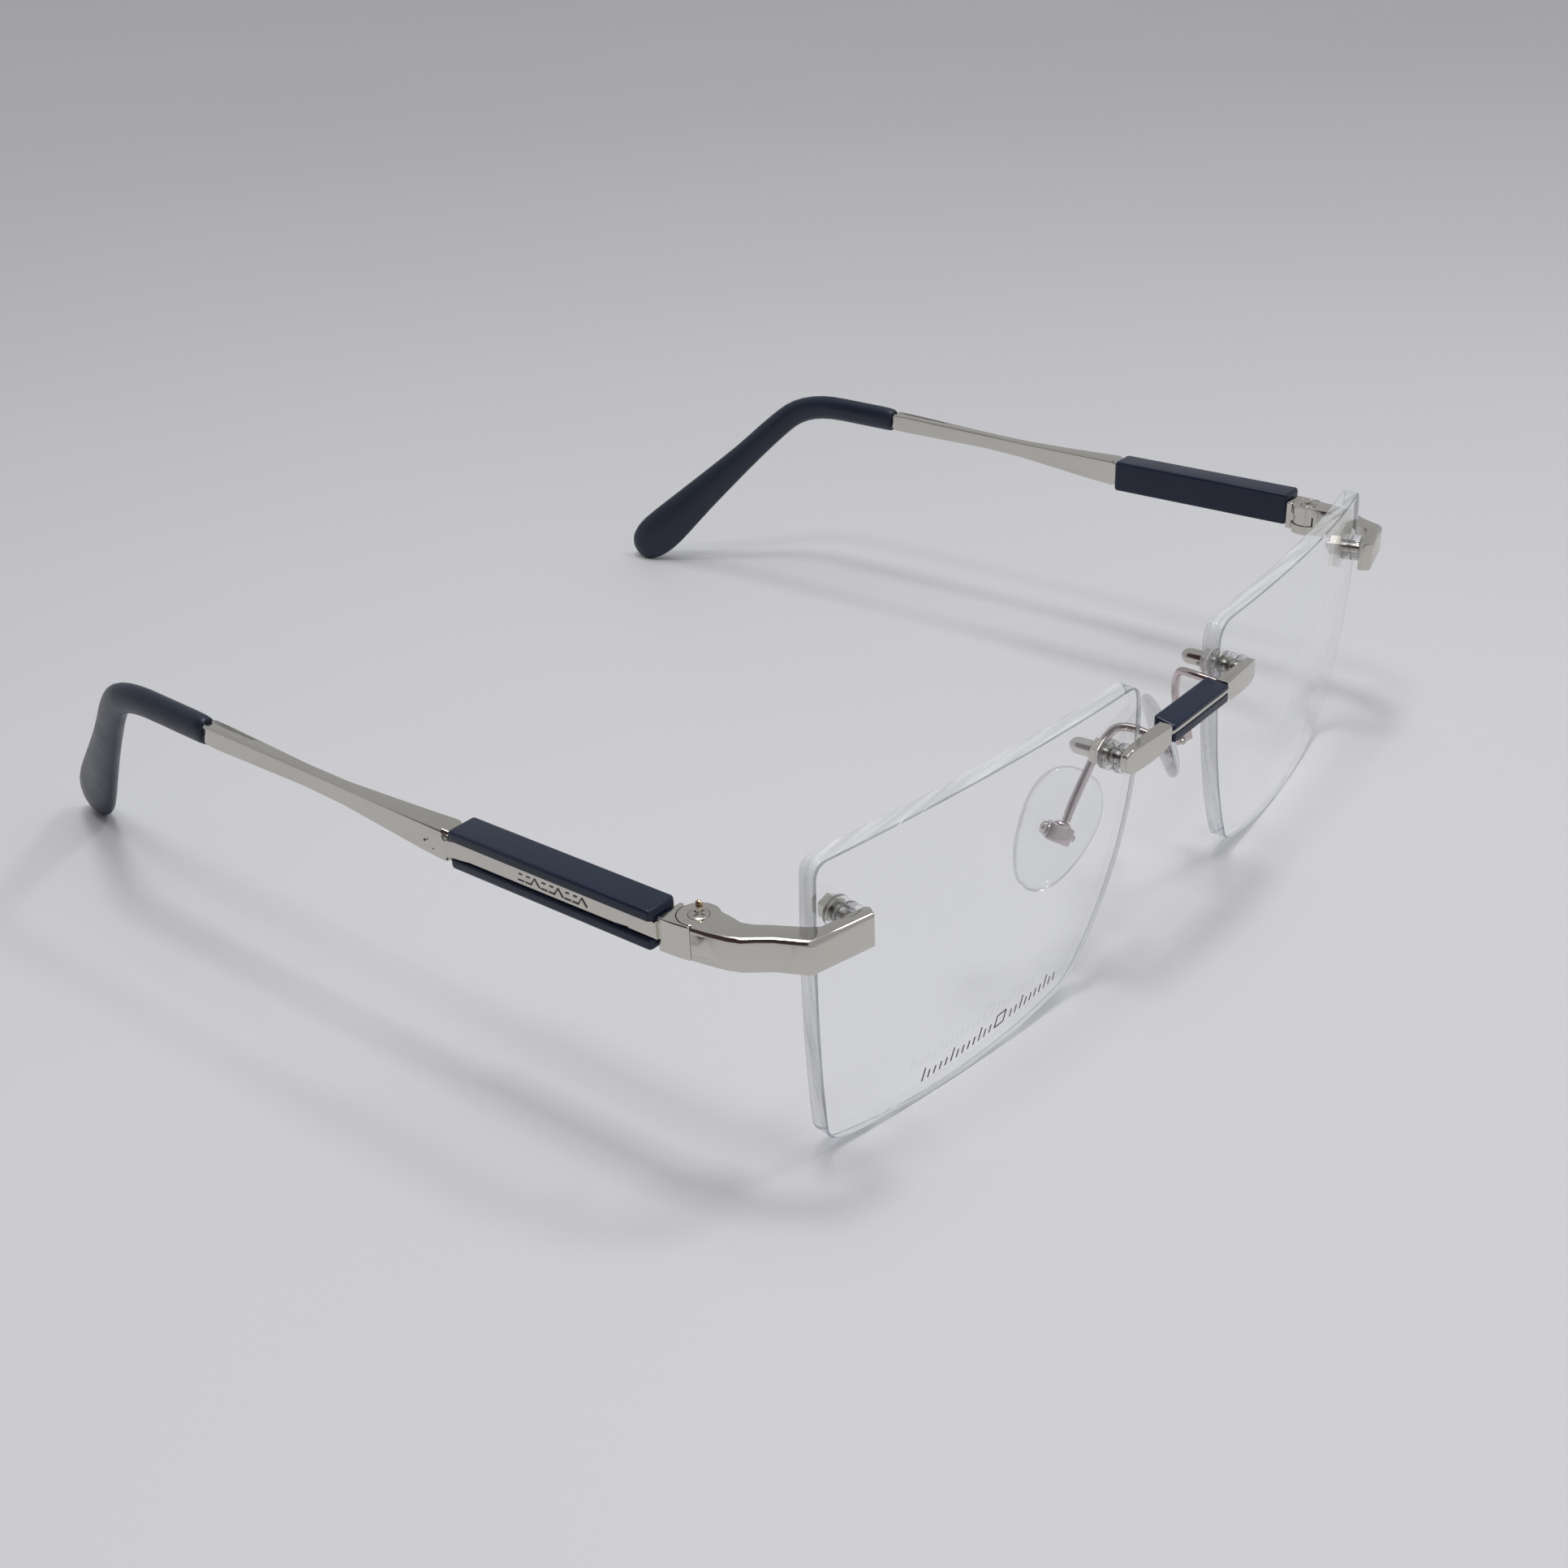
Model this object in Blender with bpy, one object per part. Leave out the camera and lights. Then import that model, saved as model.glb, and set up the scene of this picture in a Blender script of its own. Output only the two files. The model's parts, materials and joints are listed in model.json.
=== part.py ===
"""Rimless spectacles on drilled demo lenses.

A metal bridge and two metal end pieces are bolted straight through the lenses. Each bolt is a stud that
grows from the metal, a clear plastic bush, the lens, a clear washer and a nut behind. The bridge and both
side arms wear dark C-shaped sleeves whose slot shows the metal inside. The arms fold on hinge screws, and
the nose pads rock on small cross screws.

All numbers are millimetres and degrees. The wearer's left is +X, the front faces -Y and +Z is up. Every
builder below draws the left side, and SIDES mirrors it to the right.
"""

import math

import bmesh
import bpy
from mathutils import Matrix, Vector

MM = 0.001
SIDES = (("left", 1.0), ("right", -1.0))
Y_CENTRE = 69.17  # depth of the middle of the whole object, which becomes the origin
FLOOR = 0.32  # height of the lowest point, which rests on the table at zero

# Lens: 53 wide, 18 between the lenses
LENS_CENTRE = (35.13, 4.15, 19.17)
LENS_WRAP = 6.2  # turn of the lens round +Z, so that it follows the face
LENS_TILT = 4.06  # lean of the lower edge towards the cheek
LENS_RADIUS = 175.0  # front surface
LENS_THICK = 2.2
LENS_FLAT_AT = 1033.5  # the front surface crosses the lens plane where u2 + v2 is this
LENS_CORNERS = ((-26.16, 18.3, 3.0), (26.53, 18.1, 1.6), (23.9, -17.6, 2.4), (-15.5, -16.5, 2.2))
LENS_BOWS = (0.95, 1.35, 1.7, 3.3)  # how far each edge swells beyond its chord
LENS_BEVEL = 0.25
HOLE_R = 1.06
NASAL_HOLE = (-21.3, 11.1)
TEMPORAL_HOLE = (23.0, 11.15)

# Through-lens mounts
GAP = 0.04
STUD_R = 0.6
BORE_R = 0.66
BUSH_R = 1.75
BUSH_SLEEVE_R = 1.0
NASAL_FLANGE = 0.66
TEMPORAL_FLANGE = 1.15
WASHER_THICK = {"nasal": 0.95, "temporal": 0.42}
STUD_SET = 0.6  # how deep a stud sits in its lug
CAP_NUT = (1.4, 1.15, 1.0, 4.2)  # half the width over flats, hexagon height, barrel radius, whole height
HEX_NUT = (1.22, 1.35)  # half the width over flats, height

# Bridge
BRIDGE_LUG_BACK = -0.95
SLEEVE_HALF = 6.45
SLEEVE_FLARE = 0.06

# Hinge
HINGE = (67.5, 15.54)
HINGE_TOP = 31.45
HINGE_BOTTOM = 27.55
KNUCKLE_R = 2.2
TEMPLE_KNUCKLE_R = 2.0
KNUCKLE_GAP = 0.05
MID_KNUCKLE = (28.85, 30.15)
HINGE_SCREW_R = 0.7
HINGE_HEAD_R = 1.1
HINGE_HEAD_DEEP = 0.45

# Side arm
SLEEVE_Y = (18.75, 47.2)
ARM_END_Y = 90.0
CORE_END_Y = 103.0

# Nose pad
PAD_PIVOT = (15.25, 7.8, 18.85)
PAD_RISE = 20.7  # how far the back of the pad looks up
PAD_SPLAY = 41.0  # and how far it looks forward
PAD_TURN = 25.4  # lean of the pad's length within its own plane
PAD_FACE = 1.45  # distance from the screw axis to the pad's flat back
PAD_HALF = (7.7, 4.25)
PAD_SCREW_R = 0.4


def clear_scene():
    for old in list(bpy.data.objects):
        bpy.data.objects.remove(old, do_unlink=True)


def principled(name, colour, metallic=0.0, roughness=0.3, transmission=0.0, ior=1.5):
    made = bpy.data.materials.new(name)
    made.use_nodes = True
    shader = made.node_tree.nodes["Principled BSDF"]
    shader.inputs["Base Color"].default_value = (*colour, 1.0)
    shader.inputs["Metallic"].default_value = metallic
    shader.inputs["Roughness"].default_value = roughness
    shader.inputs["Transmission Weight"].default_value = transmission
    shader.inputs["IOR"].default_value = ior
    made.diffuse_color = (*colour, 1.0)
    made.metallic = metallic
    made.roughness = roughness
    return made


def placed(point, side=1.0):
    """A point drawn on the left side, in metres, on the side asked for and about the object's origin."""
    return Vector((point[0] * side, point[1] - Y_CENTRE, point[2] - FLOOR)) * MM


def add_object(name, verts, faces, side=1.0, origin=(0.0, 0.0, 0.0), material=None, cutter=False):
    """One mesh object with its normals facing out. origin is where the object turns."""
    at = placed(origin, side)
    mesh = bpy.data.meshes.new(name)
    mesh.from_pydata([placed(v, side) - at for v in verts], [], faces)
    shape = bmesh.new()
    shape.from_mesh(mesh)
    bmesh.ops.remove_doubles(shape, verts=shape.verts, dist=1e-7)
    bmesh.ops.recalc_face_normals(shape, faces=shape.faces)
    shape.to_mesh(mesh)
    shape.free()
    obj = bpy.data.objects.new(name, mesh)
    obj.location = at
    bpy.context.scene.collection.objects.link(obj)
    if material:
        mesh.materials.append(material)
    if cutter:
        obj.hide_render = True
        obj.display_type = "WIRE"
    return obj


def combine(target, operation, *helpers):
    for helper in helpers:
        step = target.modifiers.new(f"{operation.lower()}_{helper.name}", "BOOLEAN")
        step.operation = operation
        step.solver = "EXACT"
        step.object = helper


def loft(rings, closed=False):
    """Verts and faces through rings of equal length. A ring of one point is a tip; closed joins last to first."""
    verts = []
    starts = []
    for ring in rings:
        starts.append(len(verts))
        verts.extend(ring)
    faces = []
    pairs = list(zip(range(len(rings) - 1), range(1, len(rings))))
    if closed:
        pairs.append((len(rings) - 1, 0))
    for a, b in pairs:
        count = max(len(rings[a]), len(rings[b]))
        for i in range(count):
            j = (i + 1) % count
            corners = [
                starts[a] + i % len(rings[a]),
                starts[a] + j % len(rings[a]),
                starts[b] + j % len(rings[b]),
                starts[b] + i % len(rings[b]),
            ]
            faces.append(tuple(dict.fromkeys(corners)))
    if not closed:
        for at in (0, len(rings) - 1):
            if len(rings[at]) > 1:
                faces.append(tuple(range(starts[at], starts[at] + len(rings[at]))))
    return verts, faces


def axes_for(direction):
    """Two unit vectors square to direction."""
    along = Vector(direction).normalized()
    hint = Vector((0.0, 0.0, 1.0)) if abs(along.z) < 0.9 else Vector((1.0, 0.0, 0.0))
    across = along.cross(hint).normalized()
    return across, across.cross(along).normalized()


def hex_reach(angle):
    """Distance from the centre of a hexagon, one over flats halves, to its side at this angle."""
    return 1.0 / math.cos((angle + math.pi / 6) % (math.pi / 3) - math.pi / 6)


def lathe(profile, base, direction, segments=24, closed=False):
    """Turned shape about a line. profile holds (radius, height) or (half over flats, height, "hex")."""
    across, upright = axes_for(direction)
    along = Vector(direction).normalized()
    rings = []
    for entry in profile:
        centre = Vector(base) + along * entry[1]
        if entry[0] == 0:
            rings.append([centre])
            continue
        ring = []
        for i in range(segments):
            angle = 2 * math.pi * i / segments
            reach = entry[0] * (hex_reach(angle) if len(entry) == 3 else 1.0)
            ring.append(centre + (across * math.cos(angle) + upright * math.sin(angle)) * reach)
        rings.append(ring)
    return loft(rings, closed)


def cylinder(radius, base, direction, low, high, segments=24):
    return lathe(((radius, low), (radius, high)), base, direction, segments)


def prism(outline, low, high):
    """Upright prism on a plan outline of (x, y) points."""
    return loft([[(x, y, z) for x, y in outline] for z in (low, high)])


def block_ring(y, centre_x, half_x, centre_z, half_z, chamfer):
    """Eight-sided section across an arm, square to Y."""
    corners = (
        (half_x, half_z - chamfer),
        (half_x - chamfer, half_z),
        (-half_x + chamfer, half_z),
        (-half_x, half_z - chamfer),
        (-half_x, -half_z + chamfer),
        (-half_x + chamfer, -half_z),
        (half_x - chamfer, -half_z),
        (half_x, -half_z + chamfer),
    )
    return [(centre_x + dx, y, centre_z + dz) for dx, dz in corners]


def bevel(obj, width, segments=2, angle=35.0):
    step = obj.modifiers.new("soft_edges", "BEVEL")
    step.width = width * MM
    step.segments = segments
    step.limit_method = "ANGLE"
    step.angle_limit = math.radians(angle)
    step.use_clamp_overlap = True


def tube_along(path, sizes, segments=16, reference=(1.0, 0.0, 0.0)):
    """Closed tube of oval section along a path. sizes holds (half thickness, half depth) for each point."""
    rings = []
    points = [Vector(p) for p in path]
    for i, point in enumerate(points):
        ahead = points[min(i + 1, len(points) - 1)]
        behind = points[max(i - 1, 0)]
        along = (ahead - behind).normalized()
        deep = along.cross(Vector(reference)).normalized()
        thick = deep.cross(along).normalized()
        ring = []
        for k in range(segments):
            angle = 2 * math.pi * k / segments
            ring.append(point + thick * math.cos(angle) * sizes[i][0] + deep * math.sin(angle) * sizes[i][1])
        rings.append(ring)
    return loft(rings)


def smooth_path(points, steps):
    """Catmull-Rom curve through points, with steps pieces to each span. Points may hold any number of values."""
    ends = [points[0], *points, points[-1]]
    made = []
    for i in range(1, len(ends) - 2):
        for k in range(steps):
            t = k / steps
            weights = (
                (-t + 2 * t * t - t**3) / 2,
                (2 - 5 * t * t + 3 * t**3) / 2,
                (t + 4 * t * t - 3 * t**3) / 2,
                (-t * t + t**3) / 2,
            )
            near = ends[i - 1 : i + 3]
            made.append(tuple(sum(w * v for w, v in zip(weights, values)) for values in zip(*near)))
    made.append(tuple(points[-1]))
    return made


# ---------------------------------------------------------------- lenses


def lens_axes():
    wrap = math.radians(LENS_WRAP)
    tilt = math.radians(LENS_TILT)
    along = Vector((math.cos(wrap), math.sin(wrap), 0.0))
    level_front = Vector((math.sin(wrap), -math.cos(wrap), 0.0))
    front = level_front * math.cos(tilt) - Vector((0.0, 0.0, math.sin(tilt)))
    rise = level_front * math.sin(tilt) + Vector((0.0, 0.0, math.cos(tilt)))
    return along, rise, front


def lens_point(u, v, depth=0.0):
    """Point on the lens, depth behind its front surface."""
    along, rise, front = lens_axes()
    bulge = math.sqrt(LENS_RADIUS**2 - u * u - v * v) - math.sqrt(LENS_RADIUS**2 - LENS_FLAT_AT)
    return Vector(LENS_CENTRE) + along * u + rise * v + front * (bulge - depth)


def lens_normal(u, v):
    along, rise, front = lens_axes()
    return (front * math.sqrt(LENS_RADIUS**2 - u * u - v * v) + along * u + rise * v).normalized()


def lens_outline():
    """Rounded four-cornered outline with bowed edges, in the lens plane."""
    corners = [Vector((u, v)) for u, v, _ in LENS_CORNERS]
    edges = []
    for i, bow in enumerate(LENS_BOWS):
        a = corners[i]
        b = corners[(i + 1) % 4]
        out = Vector((-(b - a).y, (b - a).x)).normalized()
        steps = 11
        edge = []
        for k in range(steps + 1):
            t = k / steps
            edge.append(a.lerp(b, t) + out * 4 * bow * t * (1 - t))
        edges.append(edge)
    outline = []
    for i, (_, _, radius) in enumerate(LENS_CORNERS):
        before = edges[i - 1]
        after = edges[i]
        outline.extend(corner_arc(before, after, radius))
        clear = 1.2 * radius
        next_clear = 1.2 * LENS_CORNERS[(i + 1) % 4][2]
        for p in after:
            if (p - after[0]).length > clear and (p - after[-1]).length > next_clear:
                outline.append(p)
    return outline


def point_at(edge, distance):
    """Point this far along a polyline."""
    left = distance
    for a, b in zip(edge, edge[1:]):
        if (b - a).length >= left:
            return a.lerp(b, left / (b - a).length)
        left -= (b - a).length
    return edge[-1]


def corner_arc(before, after, radius):
    corner = after[0]
    start = point_at(list(reversed(before)), radius)
    end = point_at(after, radius)
    steps = (0.0, 0.25, 0.5, 0.75, 1.0)
    return [start * (1 - t) ** 2 + corner * 2 * t * (1 - t) + end * t * t for t in steps]


def lens_shape():
    outline = lens_outline()
    inner = 1.0 - LENS_BEVEL / 22.0
    front = [(inner * k, 0.0) for k in (0.25, 0.5, 0.75, 1.0)]
    back = [(inner * k, LENS_THICK) for k in (1.0, 0.75, 0.5, 0.25)]
    stations = front + [(1.0, LENS_BEVEL), (1.0, LENS_THICK - LENS_BEVEL)] + back
    rings = [[lens_point(0.0, 0.0, 0.0)]]
    for scale, depth in stations:
        rings.append([lens_point(p.x * scale, p.y * scale, depth) for p in outline])
    rings.append([lens_point(0.0, 0.0, LENS_THICK)])
    return loft(rings)


def build_lenses(material):
    for label, side in SIDES:
        lens = add_object(f"lens_{label}", *lens_shape(), side, material=material)
        for where, spot in (("nasal", NASAL_HOLE), ("temporal", TEMPORAL_HOLE)):
            base, back = mount_line(where)
            drill = add_object(
                f"drill_{where}_{label}", *cylinder(HOLE_R, base, back, -2.0, LENS_THICK + 2.0), side, cutter=True
            )
            combine(lens, "DIFFERENCE", drill)


# ---------------------------------------------------------------- through-lens mounts


def mount_line(where):
    """Point on the lens front and the direction of the stud behind it."""
    u, v = NASAL_HOLE if where == "nasal" else TEMPORAL_HOLE
    back = Vector((0.0, 1.0, 0.0))
    if where == "temporal":
        back = -lens_normal(u, v)
        back.z = 0.0
        back.normalize()
    return lens_point(u, v), back


def build_mounts(metal, clear):
    for label, side in SIDES:
        for where in ("nasal", "temporal"):
            base, back = mount_line(where)
            flange = NASAL_FLANGE if where == "nasal" else TEMPORAL_FLANGE
            lens_back = LENS_THICK + GAP
            washer_back = lens_back + WASHER_THICK[where]
            nut_at = washer_back + GAP
            nut_high = CAP_NUT[3] if where == "nasal" else HEX_NUT[1]
            stud_end = nut_at + (2.0 if where == "nasal" else nut_high + 0.4)
            stud_start = -flange - 2 * GAP - STUD_SET
            name = f"{where}_{label}"
            stud = (
                (0.0, stud_start),
                (STUD_R, stud_start),
                (STUD_R, stud_end - 0.2),
                (STUD_R - 0.2, stud_end),
                (0.0, stud_end),
            )
            add_object(f"stud_{name}", *lathe(stud, base, back), side, material=metal)
            bush = (
                (BORE_R, -flange - GAP),
                (BUSH_R, -flange - GAP),
                (BUSH_R, -GAP),
                (BUSH_SLEEVE_R, -GAP),
                (BUSH_SLEEVE_R, LENS_THICK - 0.1),
                (BORE_R, LENS_THICK - 0.1),
            )
            add_object(f"bush_{name}", *lathe(bush, base, back, closed=True), side, material=clear)
            washer = (
                (BORE_R, lens_back),
                (BUSH_R, lens_back),
                (BUSH_R, washer_back),
                (BORE_R, washer_back),
            )
            add_object(f"washer_{name}", *lathe(washer, base, back, closed=True), side, material=clear)
            shape = cap_nut(nut_at, base, back) if where == "nasal" else hex_nut(nut_at, base, back)
            kind = "cap_nut" if where == "nasal" else "hex_nut"
            add_object(f"{kind}_{label}", *shape, side, material=metal)


def cap_nut(at, base, back):
    """Hexagon foot with a long domed barrel, bored from the foot."""
    half, foot, barrel, high = CAP_NUT
    profile = (
        (0.0, at + 2.3),
        (BORE_R, at + 2.3),
        (BORE_R, at),
        (half - 0.15, at, "hex"),
        (half, at + 0.15, "hex"),
        (half, at + foot - 0.15, "hex"),
        (half - 0.15, at + foot, "hex"),
        (barrel, at + foot),
        (barrel, at + high - 1.2),
        (barrel * 0.93, at + high - 0.75),
        (barrel * 0.72, at + high - 0.35),
        (barrel * 0.38, at + high - 0.08),
        (0.0, at + high),
    )
    return lathe(profile, base, back)


def hex_nut(at, base, back):
    half, high = HEX_NUT
    profile = (
        (BORE_R, at),
        (half - 0.15, at, "hex"),
        (half, at + 0.15, "hex"),
        (half, at + high - 0.15, "hex"),
        (half - 0.15, at + high, "hex"),
        (BORE_R, at + high),
    )
    return lathe(profile, base, back, closed=True)


# ---------------------------------------------------------------- bridge


def bridge_ring(x, front, back, low, high, chamfer=0.18):
    corners = (
        (front, low + chamfer),
        (front, high - chamfer),
        (front + chamfer, high),
        (back - chamfer, high),
        (back, high - chamfer),
        (back, low + chamfer),
        (back - chamfer, low),
        (front + chamfer, low),
    )
    return [(x, y, z) for y, z in corners]


def build_bridge(metal, dark):
    """A bar that thickens outside the sleeve into a lug in front of each lens."""
    half = (
        (6.2, -2.6, -1.03, 30.35, 31.15),
        (6.75, -2.6, -1.03, 30.35, 31.15),
        (6.75, -2.72, BRIDGE_LUG_BACK, 29.3, 31.75),
        (8.2, -2.65, BRIDGE_LUG_BACK, 28.8, 31.75),
        (11.0, -2.45, BRIDGE_LUG_BACK, 28.5, 31.7),
        (14.1, -2.2, BRIDGE_LUG_BACK, 28.5, 31.65),
        (15.0, -2.1, BRIDGE_LUG_BACK, 28.85, 31.45),
        (15.5, -1.95, BRIDGE_LUG_BACK - 0.1, 29.5, 31.0),
    )
    rings = [bridge_ring(-x, *rest) for x, *rest in reversed(half)]
    rings += [bridge_ring(x, *rest) for x, *rest in half]
    bridge = add_object("bridge", *loft(rings), material=metal)
    for label, side in SIDES:
        base, back = mount_line("nasal")
        depth = -NASAL_FLANGE - 2 * GAP - STUD_SET
        pocket = add_object(
            f"stud_pocket_bridge_{label}", *cylinder(STUD_R + 0.02, base, back, depth - 0.02, 1.0), side, cutter=True
        )
        combine(bridge, "DIFFERENCE", pocket)
    section = (
        (-3.0, 31.05),
        (-3.0, 31.35),
        (-2.75, 31.6),
        (-0.35, 32.15),
        (-0.1, 31.95),
        (-0.1, 29.65),
        (-0.3, 29.45),
        (-2.75, 29.4),
        (-3.0, 29.6),
        (-3.0, 30.5),
        (-2.67, 30.5),
        (-2.67, 30.3),
        (-0.98, 30.3),
        (-0.98, 31.2),
        (-2.67, 31.2),
        (-2.67, 31.05),
    )
    rings = []
    for side in (-1.0, 1.0):
        rings.append([(side * (SLEEVE_HALF - SLEEVE_FLARE * y), y, z) for y, z in section])
    add_object("bridge_sleeve", *loft(rings), material=dark)


# ---------------------------------------------------------------- nose pads


def pad_axes():
    """Pad directions: up its length, out through its nose face, and along its screw."""
    rise = math.radians(PAD_RISE)
    splay = math.radians(PAD_SPLAY)
    turn = math.radians(PAD_TURN)
    level = math.cos(rise)
    nose = Vector((-math.cos(splay) * level, math.sin(splay) * level, -math.sin(rise)))
    forward = Vector((0.0, 0.0, 1.0)).cross(nose).normalized()
    up = nose.cross(forward) * math.cos(turn) + forward * math.sin(turn)
    return up, nose, nose.cross(up).normalized()


def pad_place(point):
    """From pad directions (along the screw, up, towards the nose) to the object."""
    up, nose, screw = pad_axes()
    return Vector(PAD_PIVOT) + screw * point[0] + up * point[1] + nose * point[2]


def pad_block(low, high):
    corners = []
    sides = ((low[0], low[1]), (high[0], low[1]), (high[0], high[1]), (low[0], high[1]))
    for z in (low[2], high[2]):
        corners.append([pad_place((x, y, z)) for x, y in sides])
    return loft(corners)


def build_pads(metal, clear):
    up, nose, screw_axis = pad_axes()
    for label, side in SIDES:
        wire_path = (
            (8.25, -0.88, 30.6),
            (8.25, 0.8, 30.75),
            (8.35, 3.0, 30.85),
            (8.8, 4.5, 30.6),
            (9.6, 5.35, 29.4),
            (10.7, 6.1, 27.2),
            (12.3, 6.65, 24.4),
            (14.0, 6.9, 22.1),
            tuple(pad_place((0.0, 1.7, -1.2))),
        )
        path = smooth_path(wire_path, 3)
        wire = tube_along(path, [(0.5, 0.5)] * len(path), 12)
        add_object(f"pad_arm_{label}", *wire, side, material=metal)

        box = add_object(f"pad_box_{label}", *pad_block((-1.4, -1.05, -1.5), (1.4, 1.05, 0.75)), side, material=metal)
        bevel(box, 0.2)
        slot = add_object(
            f"pad_box_slot_{label}", *pad_block((-0.88, -3.0, -1.12), (0.88, 3.0, 3.0)), side, cutter=True
        )
        through = add_object(
            f"pad_box_bore_{label}",
            *cylinder(PAD_SCREW_R + 0.03, PAD_PIVOT, screw_axis, -3.0, 3.0, 16),
            side,
            cutter=True,
        )
        combine(box, "DIFFERENCE", slot, through)

        screw_profile = (
            (0.0, -2.0),
            (PAD_SCREW_R - 0.1, -2.0),
            (PAD_SCREW_R, -1.9),
            (PAD_SCREW_R, 1.44),
            (0.78, 1.44),
            (0.78, 1.8),
            (0.6, 2.0),
            (0.0, 2.0),
        )
        screw = add_object(
            f"pad_screw_{label}", *lathe(screw_profile, PAD_PIVOT, screw_axis, 16), side, material=metal
        )
        cross_slot(screw, f"pad_screw_{label}", side, pad_place((2.0, 0.0, 0.0)), screw_axis, 0.95, 0.18, 0.2)

        pad = add_object(f"nose_pad_{label}", *pad_shape(), side, origin=PAD_PIVOT, material=clear)
        boss = add_object(f"pad_boss_{label}", *boss_shape(), side, origin=PAD_PIVOT, cutter=True)
        bore = add_object(
            f"pad_bore_{label}",
            *cylinder(PAD_SCREW_R + 0.06, PAD_PIVOT, screw_axis, -3.0, 3.0, 16),
            side,
            origin=PAD_PIVOT,
            cutter=True,
        )
        plate = add_object(
            f"pad_plate_{label}",
            *pad_block((-2.1, -2.1, 1.2), (2.1, 2.1, PAD_FACE + 0.3)),
            side,
            origin=PAD_PIVOT,
            cutter=True,
        )
        combine(pad, "UNION", boss, plate)
        combine(pad, "DIFFERENCE", bore)
        turn_on_empty(f"pad_axis_{label}", PAD_PIVOT, side, [pad, boss, plate, bore])


def pad_shape():
    """Soft oval cushion with a flat back and a domed nose face."""
    half_long, half_wide = PAD_HALF
    levels = ((0.0, 0.86), (0.25, 0.97), (0.7, 1.0), (1.1, 0.94), (1.45, 0.78), (1.7, 0.5), (1.8, 0.2))
    rings = []
    for height, scale in levels:
        ring = []
        for i in range(32):
            angle = 2 * math.pi * i / 32
            across = math.cos(angle) * half_wide * scale
            along = math.sin(angle) * half_long * scale
            egg = 1.0 + 0.22 * along / half_long
            ring.append(pad_place((across * egg, along, PAD_FACE + height)))
        rings.append(ring)
    return loft(rings)


def boss_shape():
    """Tongue on the back of the pad, rounded about the screw."""
    profile = [(-1.0, PAD_FACE + 0.3)]
    for k in range(9):
        angle = math.pi * k / 8
        profile.append((-math.cos(angle), -math.sin(angle)))
    profile.append((1.0, PAD_FACE + 0.3))
    return loft([[pad_place((x, y, z)) for y, z in profile] for x in (-0.8, 0.8)])


def cross_slot(screw, name, side, top, axis, reach, half_wide, deep):
    """Cross recess in a screw head."""
    first, second = axes_for(axis)
    for k, (long_way, short_way) in enumerate(((first, second), (second, first))):
        rings = []
        for height in (-deep, 1.0):
            ring = []
            for a, b in ((-1, -1), (1, -1), (1, 1), (-1, 1)):
                ring.append(
                    Vector(top)
                    + Vector(axis).normalized() * height
                    + long_way * a * reach * 0.5
                    + short_way * b * half_wide * 0.5
                )
            rings.append(ring)
        cut = add_object(f"{name}_slot_{k}", *loft(rings), side, cutter=True)
        combine(screw, "DIFFERENCE", cut)


# ---------------------------------------------------------------- end pieces and hinges


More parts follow.
